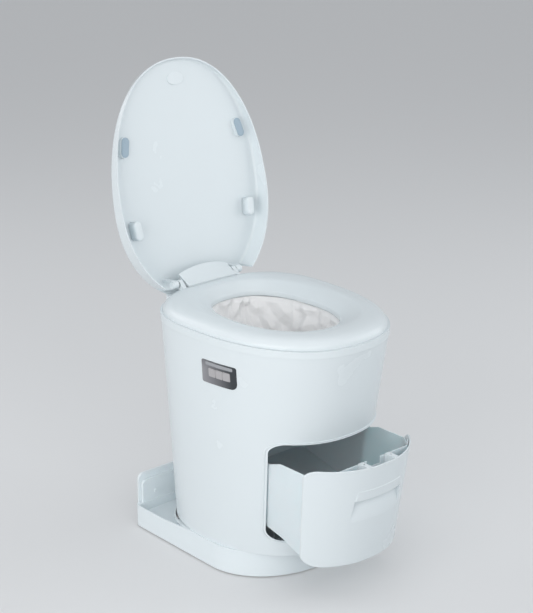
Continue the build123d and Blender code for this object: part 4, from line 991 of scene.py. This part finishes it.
class TOILET_OT_stage(bpy.types.Operator):
    """Set the floor, the lamps and the camera"""

    bl_idname = "toilet.stage"
    bl_label = "Stage"

    def execute(self, context):
        scene = context.scene
        scene.view_settings.view_transform = "Standard"
        corners = [(across * FLOOR_HALF, along * FLOOR_HALF, 0)
                   for across, along in ((-1, -1), (1, -1), (1, 1), (-1, 1))]
        floor = mesh_object("floor", corners, [(0, 1, 2, 3)])
        pale = bpy.data.materials.new("floor_pale")
        pale.use_nodes = True
        nodes, links = pale.node_tree.nodes, pale.node_tree.links
        matt = nodes["Principled BSDF"]
        matt.inputs["Base Color"].default_value = FLOOR_COLOUR
        matt.inputs["Roughness"].default_value = FLOOR_ROUGHNESS
        # Seen by the camera or in gloss, the floor gives out a little light of its own, so it stays pale.
        path = nodes.new("ShaderNodeLightPath")
        seen = nodes.new("ShaderNodeMath")
        seen.operation = "MAXIMUM"
        links.new(path.outputs["Is Camera Ray"], seen.inputs[0])
        links.new(path.outputs["Is Glossy Ray"], seen.inputs[1])
        glow = nodes.new("ShaderNodeMath")
        glow.operation = "MULTIPLY"
        glow.inputs[1].default_value = FLOOR_GLOW
        links.new(seen.outputs[0], glow.inputs[0])
        matt.inputs["Emission Color"].default_value = (1, 1, 1, 1)
        links.new(glow.outputs[0], matt.inputs["Emission Strength"])
        floor.data.materials.append(pale)

        world = bpy.data.worlds.new("studio")
        scene.world = world
        world.use_nodes = True
        background = world.node_tree.nodes["Background"]
        background.inputs["Color"].default_value = SKY_COLOUR
        background.inputs["Strength"].default_value = SKY_STRENGTH

        aim = Vector(look().view_aim)
        for name, place, size, power, tint in LAMPS:
            lamp = bpy.data.lights.new(name, "AREA")
            lamp.size = size
            lamp.energy = power
            lamp.color = tint
            holder = bpy.data.objects.new(name, lamp)
            holder.location = place
            holder.rotation_euler = (aim - Vector(place)).to_track_quat("-Z", "Y").to_euler()
            scene.collection.objects.link(holder)

        turn, rise = look().view_turn, look().view_rise
        level = math.cos(rise)
        back = Vector((-math.sin(turn) * level, -math.cos(turn) * level, math.sin(rise)))
        lens = bpy.data.cameras.new("camera")
        lens.lens = look().lens
        lens.sensor_width = SENSOR_MM
        lens.clip_end = VIEW_END
        camera = bpy.data.objects.new("camera", lens)
        camera.location = aim + back * look().view_distance
        camera.rotation_euler = (-back).to_track_quat("-Z", "Y").to_euler()
        scene.collection.objects.link(camera)
        scene.camera = camera
        return {"FINISHED"}


class TOILET_PT_panel(bpy.types.Panel):
    """Lists the toilet's colours and its operators"""

    bl_idname = "TOILET_PT_panel"
    bl_label = "Sealing Toilet"
    bl_space_type = "VIEW_3D"
    bl_region_type = "UI"
    bl_category = "Toilet"

    def draw(self, context):
        for name in ToiletLook.__annotations__:
            self.layout.prop(context.scene.toilet_look, name)
        for operator in OPERATORS:
            self.layout.operator(operator.bl_idname)


OPERATORS = (
    TOILET_OT_rigid_pieces,
    TOILET_OT_lid_pads,
    TOILET_OT_seat,
    TOILET_OT_trim,
    TOILET_OT_drawer_front,
    TOILET_OT_film,
    TOILET_OT_stage,
)


def register():
    for item in (ToiletLook, *OPERATORS, TOILET_PT_panel):
        bpy.utils.register_class(item)
    bpy.types.Scene.toilet_look = bpy.props.PointerProperty(type=ToiletLook)


def unregister():
    del bpy.types.Scene.toilet_look
    for item in reversed((ToiletLook, *OPERATORS, TOILET_PT_panel)):
        bpy.utils.unregister_class(item)


def main():
    register()
    for operator in OPERATORS:
        group, name = operator.bl_idname.split(".")
        getattr(getattr(bpy.ops, group), name)()


if __name__ == "__main__":
    main()
